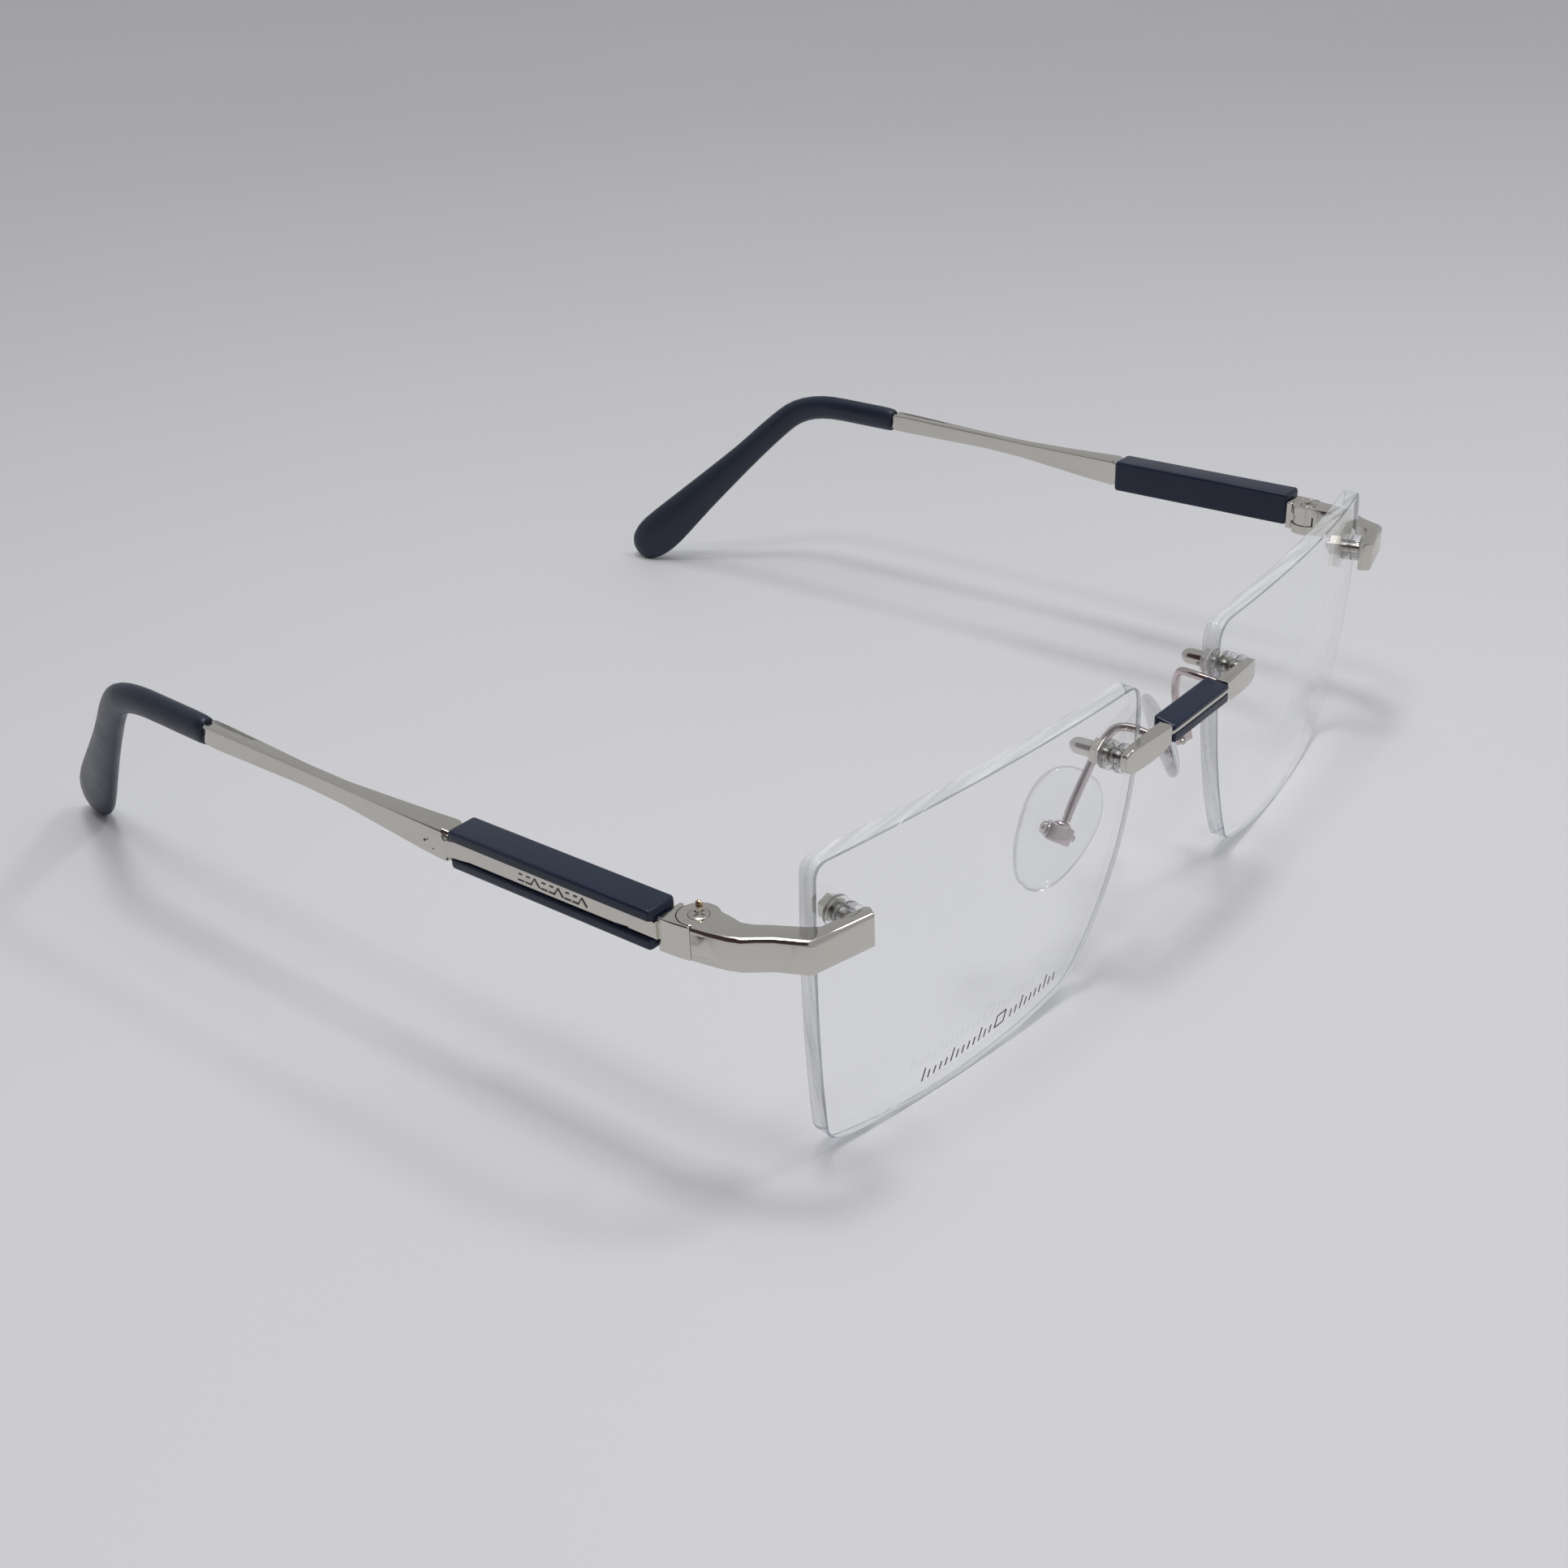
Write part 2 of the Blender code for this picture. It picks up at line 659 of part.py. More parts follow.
def build_end_pieces(metal):
    base, back = mount_line("temporal")
    along = Vector((back.y, -back.x, 0.0))
    plate_back = base - back * (TEMPORAL_FLANGE + 2 * GAP)
    plate_front = plate_back - back * 1.75
    end_front = plate_front - along * 1.15
    end_back = plate_back - along * 1.35
    knee_front = plate_front + along * 6.75
    knee_back = plate_back + along * 4.1
    outline = (
        (end_front.x, end_front.y),
        (knee_front.x - 0.35, knee_front.y - 0.1),
        (knee_front.x + 0.1, knee_front.y + 0.3),
        (66.2, 5.2),
        (66.95, 6.8),
        (67.95, 8.15),
        (68.8, 9.3),
        (69.3, 10.6),
        (69.75, 12.8),
        (70.0, 14.7),
        (67.5, 14.7),
        (65.75, 14.7),
        (65.95, 12.8),
        (66.25, 11.3),
        (65.9, 10.1),
        (64.9, 8.5),
        (63.9, 6.7),
        (63.2, 5.4),
        (knee_back.x, knee_back.y),
        (end_back.x, end_back.y),
        (end_back.x - 0.25, end_back.y - 0.5),
    )
    up = (0.0, 0.0, 1.0)
    pivot = (*HINGE, 0.0)
    for label, side in SIDES:
        piece = add_object(f"end_piece_{label}", *prism(outline, HINGE_BOTTOM, HINGE_TOP), side, material=metal)
        bevel(piece, 0.16, 2, 50.0)
        knuckle = add_object(
            f"end_knuckle_{label}",
            *cylinder(KNUCKLE_R, pivot, up, HINGE_BOTTOM + 0.01, HINGE_TOP - 0.01, 32),
            side,
            cutter=True,
        )
        slot = add_object(
            f"end_slot_{label}",
            *cylinder(KNUCKLE_R + 0.12, pivot, up, MID_KNUCKLE[0] - KNUCKLE_GAP, MID_KNUCKLE[1] + KNUCKLE_GAP, 32),
            side,
            cutter=True,
        )
        bore = add_object(
            f"end_bore_{label}", *cylinder(HINGE_SCREW_R + 0.02, pivot, up, 20.0, 40.0, 20), side, cutter=True
        )
        seat = add_object(
            f"end_seat_{label}",
            *cylinder(HINGE_HEAD_R + 0.04, pivot, up, HINGE_TOP - HINGE_HEAD_DEEP, 40.0, 24),
            side,
            cutter=True,
        )
        stud_depth = -TEMPORAL_FLANGE - 2 * GAP - STUD_SET
        pocket = add_object(
            f"stud_pocket_end_{label}",
            *cylinder(STUD_R + 0.02, base, back, stud_depth - 0.02, 0.5),
            side,
            cutter=True,
        )
        combine(piece, "UNION", knuckle)
        combine(piece, "DIFFERENCE", slot, bore, seat, pocket)

        profile = (
            (0.0, HINGE_BOTTOM + 0.1),
            (HINGE_SCREW_R - 0.12, HINGE_BOTTOM + 0.1),
            (HINGE_SCREW_R, HINGE_BOTTOM + 0.25),
            (HINGE_SCREW_R, HINGE_TOP - HINGE_HEAD_DEEP + 0.04),
            (HINGE_HEAD_R, HINGE_TOP - HINGE_HEAD_DEEP + 0.04),
            (HINGE_HEAD_R, HINGE_TOP + 0.02),
            (HINGE_HEAD_R - 0.25, HINGE_TOP + 0.14),
            (0.0, HINGE_TOP + 0.14),
        )
        screw = add_object(f"hinge_screw_{label}", *lathe(profile, pivot, up, 24), side, material=metal)
        cross_slot(screw, f"hinge_screw_{label}", side, (*HINGE, HINGE_TOP + 0.14), up, 1.35, 0.28, 0.25)


# ---------------------------------------------------------------- side arms


def arm_rings():
    """Sections from the hinge block back to the core that the ear tip covers."""
    sections = (
        (18.5, 69.62, 1.0, 30.0, 1.03, 0.1),
        (47.35, 69.6, 1.0, 30.05, 1.03, 0.1),
        (47.35, 69.6, 1.25, 30.05, 1.7, 0.35),
        (48.2, 69.6, 1.5, 30.07, 2.0, 0.3),
        (52.0, 69.6, 1.35, 30.15, 1.85, 0.25),
        (58.0, 69.6, 1.05, 30.35, 1.5, 0.2),
        (65.0, 69.6, 0.78, 30.6, 1.22, 0.18),
        (72.0, 69.58, 0.72, 30.85, 1.15, 0.18),
        (80.0, 69.5, 0.85, 31.05, 1.22, 0.18),
        (87.0, 69.42, 1.05, 31.2, 1.35, 0.2),
        (ARM_END_Y - 0.6, 69.4, 1.05, 31.25, 1.35, 0.25),
        (ARM_END_Y, 69.4, 0.85, 31.25, 1.1, 0.3),
        (ARM_END_Y, 69.4, 0.6, 31.25, 0.6, 0.25),
        (CORE_END_Y, 69.05, 0.55, 31.4, 0.55, 0.22),
    )
    return [block_ring(*section) for section in sections]


def build_arms(metal, dark, tip_dark):
    up = (0.0, 0.0, 1.0)
    pivot = (*HINGE, 29.5)
    ground = (*HINGE, 0.0)
    block = (
        (70.0, 14.77),
        (70.2, 16.4),
        (70.3, 18.6),
        (66.8, 18.6),
        (66.7, 16.6),
        (69.2, 14.77),
    )
    for label, side in SIDES:
        temple = add_object(f"temple_{label}", *loft(arm_rings()), side, origin=pivot, material=metal)
        front = add_object(
            f"temple_block_{label}", *prism(block, HINGE_BOTTOM, HINGE_TOP), side, origin=pivot, cutter=True
        )
        bevel(front, 0.12, 1, 50.0)
        knuckle = add_object(
            f"temple_knuckle_{label}",
            *cylinder(TEMPLE_KNUCKLE_R, ground, up, *MID_KNUCKLE, 32),
            side,
            origin=pivot,
            cutter=True,
        )
        top_round = add_object(
            f"temple_round_top_{label}",
            *cylinder(KNUCKLE_R + 0.1, ground, up, MID_KNUCKLE[1], 40.0, 32),
            side,
            origin=pivot,
            cutter=True,
        )
        low_round = add_object(
            f"temple_round_low_{label}",
            *cylinder(KNUCKLE_R + 0.1, ground, up, 20.0, MID_KNUCKLE[0], 32),
            side,
            origin=pivot,
            cutter=True,
        )
        bore = add_object(
            f"temple_bore_{label}",
            *cylinder(HINGE_SCREW_R + 0.05, ground, up, 20.0, 40.0, 20),
            side,
            origin=pivot,
            cutter=True,
        )
        combine(temple, "UNION", front)
        combine(temple, "DIFFERENCE", top_round, low_round)
        combine(temple, "UNION", knuckle)
        combine(temple, "DIFFERENCE", bore)

        channel = (
            (71.15, 31.12),
            (71.15, 32.05),
            (70.85, 32.35),
            (67.5, 32.35),
            (67.2, 32.05),
            (67.2, 28.05),
            (67.5, 27.75),
            (70.85, 27.75),
            (71.15, 28.05),
            (71.15, 28.9),
            (68.55, 28.9),
            (68.55, 31.12),
        )
        rings = []
        for y, shift in ((SLEEVE_Y[0], 0.0), (SLEEVE_Y[1], 0.0)):
            rings.append([(x, y, z + shift) for x, z in channel])
        sleeve = add_object(f"temple_sleeve_{label}", *loft(rings), side, origin=pivot, material=dark)
        bevel(sleeve, 0.14, 1, 60.0)

        path, sizes = tip_path()
        tip = add_object(
            f"ear_tip_{label}", *tube_along(path, sizes, 20), side, origin=pivot, material=tip_dark
        )
        start = Vector((69.4, ARM_END_Y, 31.25))
        end = Vector((69.05, CORE_END_Y, 31.4))
        core = add_object(
            f"tip_bore_{label}",
            *cylinder(0.76, start, end - start, -3.0, (end - start).length + 0.4, 16),
            side,
            origin=pivot,
            cutter=True,
        )
        combine(tip, "DIFFERENCE", core)
        parts = [temple, front, knuckle, top_round, low_round, bore, sleeve, tip, core]
        turn_on_empty(f"temple_axis_{label}", pivot, side, parts)


def tip_path():
    """Centre line and half sizes of the ear tip, which drops behind the ear and leans inwards."""
    stations = (
        (69.4, ARM_END_Y + 0.16, 31.25, 1.2, 1.6),
        (69.38, 91.2, 31.3, 1.38, 1.88),
        (69.2, 98.0, 31.45, 1.4, 1.9),
        (68.95, 104.5, 31.3, 1.4, 1.95),
        (68.35, 109.6, 29.9, 1.4, 2.0),
        (67.3, 113.6, 26.9, 1.4, 2.1),
        (65.2, 119.8, 20.9, 1.4, 2.3),
        (62.5, 127.6, 13.4, 1.45, 3.0),
        (60.2, 134.3, 6.85, 1.5, 3.75),
        (59.1, 137.6, 3.98, 1.45, 3.6),
        (58.45, 139.5, 2.41, 1.15, 2.7),
        (58.15, 140.4, 1.66, 0.5, 1.4),
    )
    made = smooth_path(stations, 3)
    return [entry[:3] for entry in made], [entry[3:] for entry in made]


def turn_on_empty(name, pivot, side, parts):
    """Parents moving pieces to an empty on their joint axis."""
    empty = bpy.data.objects.new(name, None)
    empty.location = placed(pivot, side)
    empty.empty_display_size = 5 * MM
    bpy.context.scene.collection.objects.link(empty)
    for part in parts:
        part.parent = empty
        part.matrix_parent_inverse = Matrix.Translation(-empty.location)


def main():
    clear_scene()
    nickel = principled("polished_nickel", (0.62, 0.59, 0.55), metallic=1.0, roughness=0.12)
    steel = principled("screw_steel", (0.55, 0.54, 0.52), metallic=1.0, roughness=0.2)
    navy = principled("navy_enamel", (0.022, 0.03, 0.055), roughness=0.35)
    tip_navy = principled("navy_acetate", (0.03, 0.036, 0.055), roughness=0.4)
    lens_clear = principled("lens_clear", (0.94, 0.96, 0.98), roughness=0.02, transmission=1.0)
    pad_clear = principled("pad_clear", (0.9, 0.94, 0.98), roughness=0.1, transmission=1.0, ior=1.42)
    nylon = principled("bush_clear", (0.88, 0.9, 0.92), roughness=0.12, transmission=0.9, ior=1.48)
    build_lenses(lens_clear)
    build_mounts(steel, nylon)
    build_bridge(nickel, navy)
    build_pads(nickel, pad_clear)
    build_end_pieces(nickel)
    build_arms(nickel, navy, tip_navy)


main()
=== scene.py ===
"""Rimless eyeglasses: shown pieces, finishes, table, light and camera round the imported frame."""

import json
import math

import bmesh
import bpy
from mathutils import Matrix, Vector


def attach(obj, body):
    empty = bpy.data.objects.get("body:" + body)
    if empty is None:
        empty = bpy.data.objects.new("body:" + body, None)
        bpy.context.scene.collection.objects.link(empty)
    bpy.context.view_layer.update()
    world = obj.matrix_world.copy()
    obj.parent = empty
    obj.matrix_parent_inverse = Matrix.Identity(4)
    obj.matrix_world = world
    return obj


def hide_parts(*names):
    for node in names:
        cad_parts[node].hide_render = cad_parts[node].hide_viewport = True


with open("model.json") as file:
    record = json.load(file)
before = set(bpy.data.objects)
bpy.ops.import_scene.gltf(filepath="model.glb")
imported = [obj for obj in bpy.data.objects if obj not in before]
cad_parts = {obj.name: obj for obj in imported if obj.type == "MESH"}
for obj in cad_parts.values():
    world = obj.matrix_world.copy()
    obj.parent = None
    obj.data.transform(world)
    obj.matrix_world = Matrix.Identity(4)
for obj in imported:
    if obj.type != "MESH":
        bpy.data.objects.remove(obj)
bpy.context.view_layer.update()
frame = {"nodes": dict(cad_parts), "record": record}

MM = 0.001
SIDES = (("left", 1.0), ("right", -1.0))
# The drawing measures depth from the bridge, and height from a little below the floor
Y_CENTRE = 69.17
FLOOR = 0.32
SCENE = bpy.context.scene

# Lens, in millimetres and degrees, as in the frame
LENS_CENTRE = Vector((35.13, 4.15, 19.17))
LENS_WRAP = 6.2
LENS_TILT = 4.06
LENS_RADIUS = 175.0
LENS_THICK = 2.2
LENS_FLAT_AT = 1033.5  # square of the distance out at which the dome meets the lens's own plane
LENS_CORNERS = (  # across, up and radius, from the top by the nose round to the bottom by the nose
    (-26.16, 18.3, 3.0),
    (26.53, 18.1, 1.6),
    (23.9, -17.6, 2.4),
    (-15.5, -16.5, 2.2),
)
LENS_BOWS = (0.95, 1.35, 1.7, 3.3)  # how far the edge after each corner bows out
LENS_BEVEL = 0.16
LENS_REACH = 22.0  # a middling distance from the lens's centre to its rim
LENS_TRIM = 0.9992  # keeps the shown rim just inside the frame's own
CORNER_CLEAR = 1.15  # how many corner radii an edge's own points keep from each corner
HOLE_R = 1.06
DRILL_PAST = 2.0
NASAL_HOLE = (-21.3, 11.1)
TEMPORAL_HOLE = (23.0, 11.15)

# Nose pad, in millimetres and degrees, as in the frame
PAD_PIVOT = Vector((15.25, 7.8, 18.85))
PAD_RISE = 20.7
PAD_SPLAY = 41.0
PAD_TURN = 25.4
PAD_FACE = 1.45
PAD_HALF = (7.7, 4.25)  # half its length and half its width
PAD_THICK = 1.8
PAD_SQUARENESS = 2.25
PAD_EGG = 0.2
PAD_LEVELS = (  # height above the cushion's back, and how much of the full outline it has there
    (0.0, 0.5),
    (0.0, 0.82),
    (0.05, 0.88),
    (0.2, 0.945),
    (0.45, 0.985),
    (0.75, 1.0),
    (1.0, 0.985),
    (1.25, 0.925),
    (1.45, 0.82),
    (1.62, 0.66),
    (1.73, 0.46),
    (1.79, 0.22),
)
FOOT_HALF = 2.08
FOOT_CORNER = 0.9
TONGUE_HALF = 0.8
TONGUE_R = 1.0


# ---------------------------------------------------------------- helpers


def placed(point, side=1.0):
    return Vector((point[0] * side, point[1] - Y_CENTRE, point[2] - FLOOR)) * MM


def body_of_node(node):
    for body, nodes in frame["record"]["behaviour"]["bodies"].items():
        if node in nodes:
            return body
    return None


def link(name, mesh):
    obj = bpy.data.objects.new(name, mesh)
    SCENE.collection.objects.link(obj)
    return obj


def smooth(mesh, angle):
    for polygon in mesh.polygons:
        polygon.use_smooth = True
    mesh.set_sharp_from_angle(angle=math.radians(angle))


def mesh_of(name, verts, faces, side=1.0, angle=40.0):
    """Mesh object from points in millimetres; a mirrored side turns its faces round."""
    mesh = bpy.data.meshes.new(name)
    if side < 0:
        faces = [tuple(reversed(face)) for face in faces]
    mesh.from_pydata([placed(v, side) for v in verts], [], faces)
    bm = bmesh.new()
    bm.from_mesh(mesh)
    bmesh.ops.recalc_face_normals(bm, faces=bm.faces)
    bm.to_mesh(mesh)
    bm.free()
    smooth(mesh, angle)
    return link(name, mesh)


def loft(rings):
    """Verts and faces of a closed skin through equal rings. A ring of one point is a tip."""
    verts = []
    starts = []
    for ring in rings:
        starts.append(len(verts))
        verts.extend(ring)
    faces = []
    for i in range(len(rings) - 1):
        a, b = starts[i], starts[i + 1]
        na, nb = len(rings[i]), len(rings[i + 1])
        count = max(na, nb)
        for k in range(count):
            n = (k + 1) % count
            if na == 1:
                faces.append((a, b + k, b + n))
            elif nb == 1:
                faces.append((a + k, b, a + n))
            else:
                faces.append((a + k, a + n, b + n, b + k))
    for start, ring in ((starts[0], rings[0]), (starts[-1], rings[-1])):
        if len(ring) > 2:
            faces.append(tuple(range(start, start + len(ring))))
    return verts, faces


def carve(obj, *cutters, operation="DIFFERENCE"):
    """Applies exact Booleans and removes the cutters."""
    for cutter in cutters:
        step = obj.modifiers.new("cut", "BOOLEAN")
        step.operation = operation
        step.solver = "EXACT"
        step.object = cutter
    graph = bpy.context.evaluated_depsgraph_get()
    made = bpy.data.meshes.new_from_object(obj.evaluated_get(graph))
    obj.modifiers.clear()
    old = obj.data
    obj.data = made
    bpy.data.meshes.remove(old)
    for cutter in cutters:
        bpy.data.objects.remove(cutter)


def round_edges(obj, width, segments=3, angle=32.0):
    step = obj.modifiers.new("edges", "BEVEL")
    step.width = width * MM
    step.segments = segments
    step.limit_method = "ANGLE"
    step.angle_limit = math.radians(angle)
    step.harden_normals = True
    step.use_clamp_overlap = True


def add_detail(obj, body, material):
    """obj is a small thing of the scene's own that rides on a body."""
    obj.data.materials.clear()
    obj.data.materials.append(material)
    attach(obj, body)


def show(obj, node, material):
    """obj stands for a CAD node and rides on its body."""
    add_detail(obj, body_of_node(node), material)
    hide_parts(node)


WELD = 2e-6
FLAT = math.radians(1.0)


def refined(node, material, width, segments=3, angle=32.0):
    """The CAD node's own shape with its flat faces joined up and its edges rounded."""
    mesh = frame["nodes"][node].data.copy()
    mesh.name = f"{node}_shown"
    bm = bmesh.new()
    bm.from_mesh(mesh)
    bmesh.ops.remove_doubles(bm, verts=bm.verts, dist=WELD)
    bmesh.ops.dissolve_limit(bm, angle_limit=FLAT, verts=bm.verts, edges=bm.edges)
    bmesh.ops.recalc_face_normals(bm, faces=bm.faces)
    bm.to_mesh(mesh)
    bm.free()
    smooth(mesh, 40.0)
    obj = link(f"{node}_shown", mesh)
    show(obj, node, material)
    if width:
        round_edges(obj, width, segments, angle)
    return obj


# ---------------------------------------------------------------- materials


def material_nodes(name):
    material = bpy.data.materials.new(name)
    material.use_nodes = True
    tree = material.node_tree
    return material, tree, tree.nodes["Principled BSDF"]


def add_node(tree, kind, inputs=None, **settings):
    node = tree.nodes.new(kind)
    for key, value in settings.items():
        setattr(node, key, value)
    for key, value in (inputs or {}).items():
        node.inputs[key].default_value = value
    return node


def noise_between(tree, scale, low, high, stretch=(1.0, 1.0, 1.0), detail=4.0):
    """A number that wanders between low and high over the surface, and the plain noise under it."""
    place = add_node(tree, "ShaderNodeTexCoord")
    mapping = add_node(tree, "ShaderNodeMapping", {"Scale": stretch})
    texture = {"Scale": scale, "Detail": detail, "Roughness": 0.6}
    noise = add_node(tree, "ShaderNodeTexNoise", texture)
    limits = {"From Min": 0.3, "From Max": 0.7, "To Min": low, "To Max": high}
    span = add_node(tree, "ShaderNodeMapRange", limits)
    tree.links.new(place.outputs["Object"], mapping.inputs["Vector"])
    tree.links.new(mapping.outputs["Vector"], noise.inputs["Vector"])
    tree.links.new(noise.outputs["Fac"], span.inputs["Value"])
    return span.outputs["Result"], noise.outputs["Fac"]


def bump_from(tree, height, shader, strength, distance):
    bump = add_node(tree, "ShaderNodeBump", {"Strength": strength, "Distance": distance})
    tree.links.new(height, bump.inputs["Height"])
    tree.links.new(bump.outputs["Normal"], shader.inputs["Normal"])


def tinted(tree, factor, first, second, shader):
    ramp = add_node(tree, "ShaderNodeMix", data_type="RGBA")
    ramp.inputs["A"].default_value = (*first, 1.0)
    ramp.inputs["B"].default_value = (*second, 1.0)
    tree.links.new(factor, ramp.inputs["Factor"])
    tree.links.new(ramp.outputs["Result"], shader.inputs["Base Color"])


def polished_metal(name, first, second, rough_low, rough_high):
    """Bright metal whose gloss and tone wander a little, between two colours."""
    material, tree, shader = material_nodes(name)
    shader.inputs["Metallic"].default_value = 1.0
    rough, _ = noise_between(tree, 160.0, rough_low, rough_high)
    tree.links.new(rough, shader.inputs["Roughness"])
    tone, _ = noise_between(tree, 56.0, 0.0, 1.0, detail=3.0)
    tinted(tree, tone, first, second, shader)
    _, fine = noise_between(tree, 900.0, 0.0, 1.0)
    bump_from(tree, fine, shader, 0.06, 0.02 * MM)
    return material


def dark_finish(name, first, second, rough_low, rough_high, coat, grain):
    """Enamel, plastic or ink, with a clear coat and a fine grain."""
    material, tree, shader = material_nodes(name)
    shader.inputs["IOR"].default_value = 1.5
    shader.inputs["Specular IOR Level"].default_value = 0.36
    shader.inputs["Coat Weight"].default_value = coat
    shader.inputs["Coat Roughness"].default_value = 0.12
    rough, _ = noise_between(tree, 220.0, rough_low, rough_high)
    tree.links.new(rough, shader.inputs["Roughness"])
    tone, _ = noise_between(tree, 60.0, 0.0, 1.0)
    tinted(tree, tone, first, second, shader)
    _, fine = noise_between(tree, 1400.0, 0.0, 1.0)
    bump_from(tree, fine, shader, grain, 0.03 * MM)
    return material


def mixed(tree, share, first, second):
    mix = add_node(tree, "ShaderNodeMixShader")
    tree.links.new(share, mix.inputs["Fac"])
    tree.links.new(first, mix.inputs[1])
    tree.links.new(second, mix.inputs[2])
    return mix.outputs["Shader"]


TRAPPED = 0.98  # reflectance above which light is caught inside a clear solid


def clear_plastic(name, colour, roughness, ior, shade=0.9, release=0.9):
    """Clear solid with a pale shadow. Light caught inside it leaves again, a little dimmed."""
    material, tree, shader = material_nodes(name)
    shader.inputs["Transmission Weight"].default_value = 1.0
    shader.inputs["IOR"].default_value = ior
    rough, _ = noise_between(tree, 120.0, roughness * 0.7, roughness * 1.3)
    tree.links.new(rough, shader.inputs["Roughness"])
    tone, _ = noise_between(tree, 40.0, 0.0, 1.0)
    tinted(tree, tone, colour, tuple(min(1.0, c * 1.02) for c in colour), shader)
    trapped = add_node(tree, "ShaderNodeFresnel", {"IOR": ior})
    whole = add_node(tree, "ShaderNodeMath", {1: TRAPPED}, operation="GREATER_THAN")
    tree.links.new(trapped.outputs["Fac"], whole.inputs[0])
    dimmed = (release, release, release, 1.0)
    let_go = add_node(tree, "ShaderNodeBsdfTransparent", {"Color": dimmed})
    seen = mixed(tree, whole.outputs["Value"], shader.outputs["BSDF"], let_go.outputs["BSDF"])
    path = add_node(tree, "ShaderNodeLightPath")
    shadow = (shade, shade, shade * 1.01, 1.0)
    through = add_node(tree, "ShaderNodeBsdfTransparent", {"Color": shadow})
    shown = mixed(tree, path.outputs["Is Shadow Ray"], seen, through.outputs["BSDF"])
    tree.links.new(shown, tree.nodes["Material Output"].inputs["Surface"])
    return material


def ground_edge(name, light, dark, low, high, through_colour):
    """A lens's cut edge: part clear, part frosted, with long streaks round the rim, bumped like
    grinding marks and painted light and dark as a painted reflection of what the edge refracts.
    """
    material, tree, shader = material_nodes(name)
    along = (0.12, 2.0, 0.12)
    # painted reflection: light and dark streaks along the rim stand in for the images that the edge
    # refracts
    tone, _ = noise_between(tree, 900.0, 0.0, 1.0, along, detail=3.0)
    tinted(tree, tone, dark, light, shader)
    shader.inputs["Roughness"].default_value = 0.14
    shader.inputs["IOR"].default_value = 1.5
    _, waves = noise_between(tree, 700.0, 0.0, 1.0, along, detail=2.0)
    bump_from(tree, waves, shader, 0.7, 0.4 * MM)
    through = add_node(tree, "ShaderNodeBsdfTransparent", {"Color": (*through_colour, 1.0)})
    share, _ = noise_between(tree, 620.0, low, high, along, detail=2.5)
    shown = mixed(tree, share, through.outputs["BSDF"], shader.outputs["BSDF"])
    tree.links.new(shown, tree.nodes["Material Output"].inputs["Surface"])
    return material


NICKEL = polished_metal("polished_nickel", (0.59, 0.565, 0.515), (0.65, 0.625, 0.575), 0.07, 0.13)
ROSY = polished_metal("rosy_nickel", (0.53, 0.455, 0.46), (0.61, 0.535, 0.54), 0.09, 0.17)
STEEL = polished_metal("screw_steel", (0.50, 0.47, 0.43), (0.60, 0.57, 0.53), 0.14, 0.24)
NAVY = dark_finish(
    "navy_enamel", (0.007, 0.013, 0.034), (0.010, 0.018, 0.044), 0.26, 0.36, coat=0.0, grain=0.05
)
TIP = dark_finish(
    "navy_acetate", (0.010, 0.016, 0.034), (0.016, 0.024, 0.046), 0.34, 0.46, coat=0.1, grain=0.08
)
BRASS = polished_metal("brass_bead", (0.55, 0.45, 0.26), (0.66, 0.55, 0.34), 0.2, 0.32)
LENS = clear_plastic("lens_clear", (0.985, 0.992, 0.995), 0.003, 1.5, shade=0.95, release=0.97)
# Each edge's light and dark colours paint its streaks, a painted reflection of what the edge
# refracts.
LENS_EDGE = ground_edge(
    "lens_edge", (1.0, 1.0, 1.0), (0.6, 0.63, 0.66), 0.12, 0.8, (0.88, 0.89, 0.9)
)
LENS_LINE = ground_edge(
    "lens_rim_line", (0.55, 0.57, 0.6), (0.3, 0.32, 0.34), 0.2, 0.7, (0.62, 0.64, 0.66)
)
PAD = clear_plastic("pad_clear", (0.95, 0.955, 0.965), 0.02, 1.45, release=0.72)
NYLON = clear_plastic("bush_clear", (0.93, 0.94, 0.95), 0.07, 1.46, shade=0.8, release=0.7)
INK = dark_finish(
    "lens_ink", (0.05, 0.052, 0.056), (0.08, 0.082, 0.088), 0.5, 0.7, coat=0.0, grain=0.1
)
# Dark metal for the engraved marks and worn specks, and for the painted shade beside the rivet.
DARK_MARKS_AND_SHADE = polished_metal("dark_marks_and_painted_shade", (0.16, 0.15, 0.14), (0.24, 0.23, 0.21), 0.45, 0.6)


# ---------------------------------------------------------------- lenses


def lens_axes():
    wrap = math.radians(LENS_WRAP)
    tilt = math.radians(LENS_TILT)
    along = Vector((math.cos(wrap), math.sin(wrap), 0.0))
    level = Vector((math.sin(wrap), -math.cos(wrap), 0.0))
    front = level * math.cos(tilt) - Vector((0.0, 0.0, math.sin(tilt)))
    rise = level * math.sin(tilt) + Vector((0.0, 0.0, math.cos(tilt)))
    return along, rise, front


def lens_point(u, v, depth=0.0):
    along, rise, front = lens_axes()
    bulge = math.sqrt(LENS_RADIUS**2 - u * u - v * v) - math.sqrt(LENS_RADIUS**2 - LENS_FLAT_AT)
    return LENS_CENTRE + along * u + rise * v + front * (bulge - depth)


def walk(edge, distance):
    """The point this far along an edge."""
    left = distance
    for a, b in zip(edge, edge[1:]):
        if (b - a).length >= left:
            return a.lerp(b, left / (b - a).length)
        left -= (b - a).length
    return edge[-1]


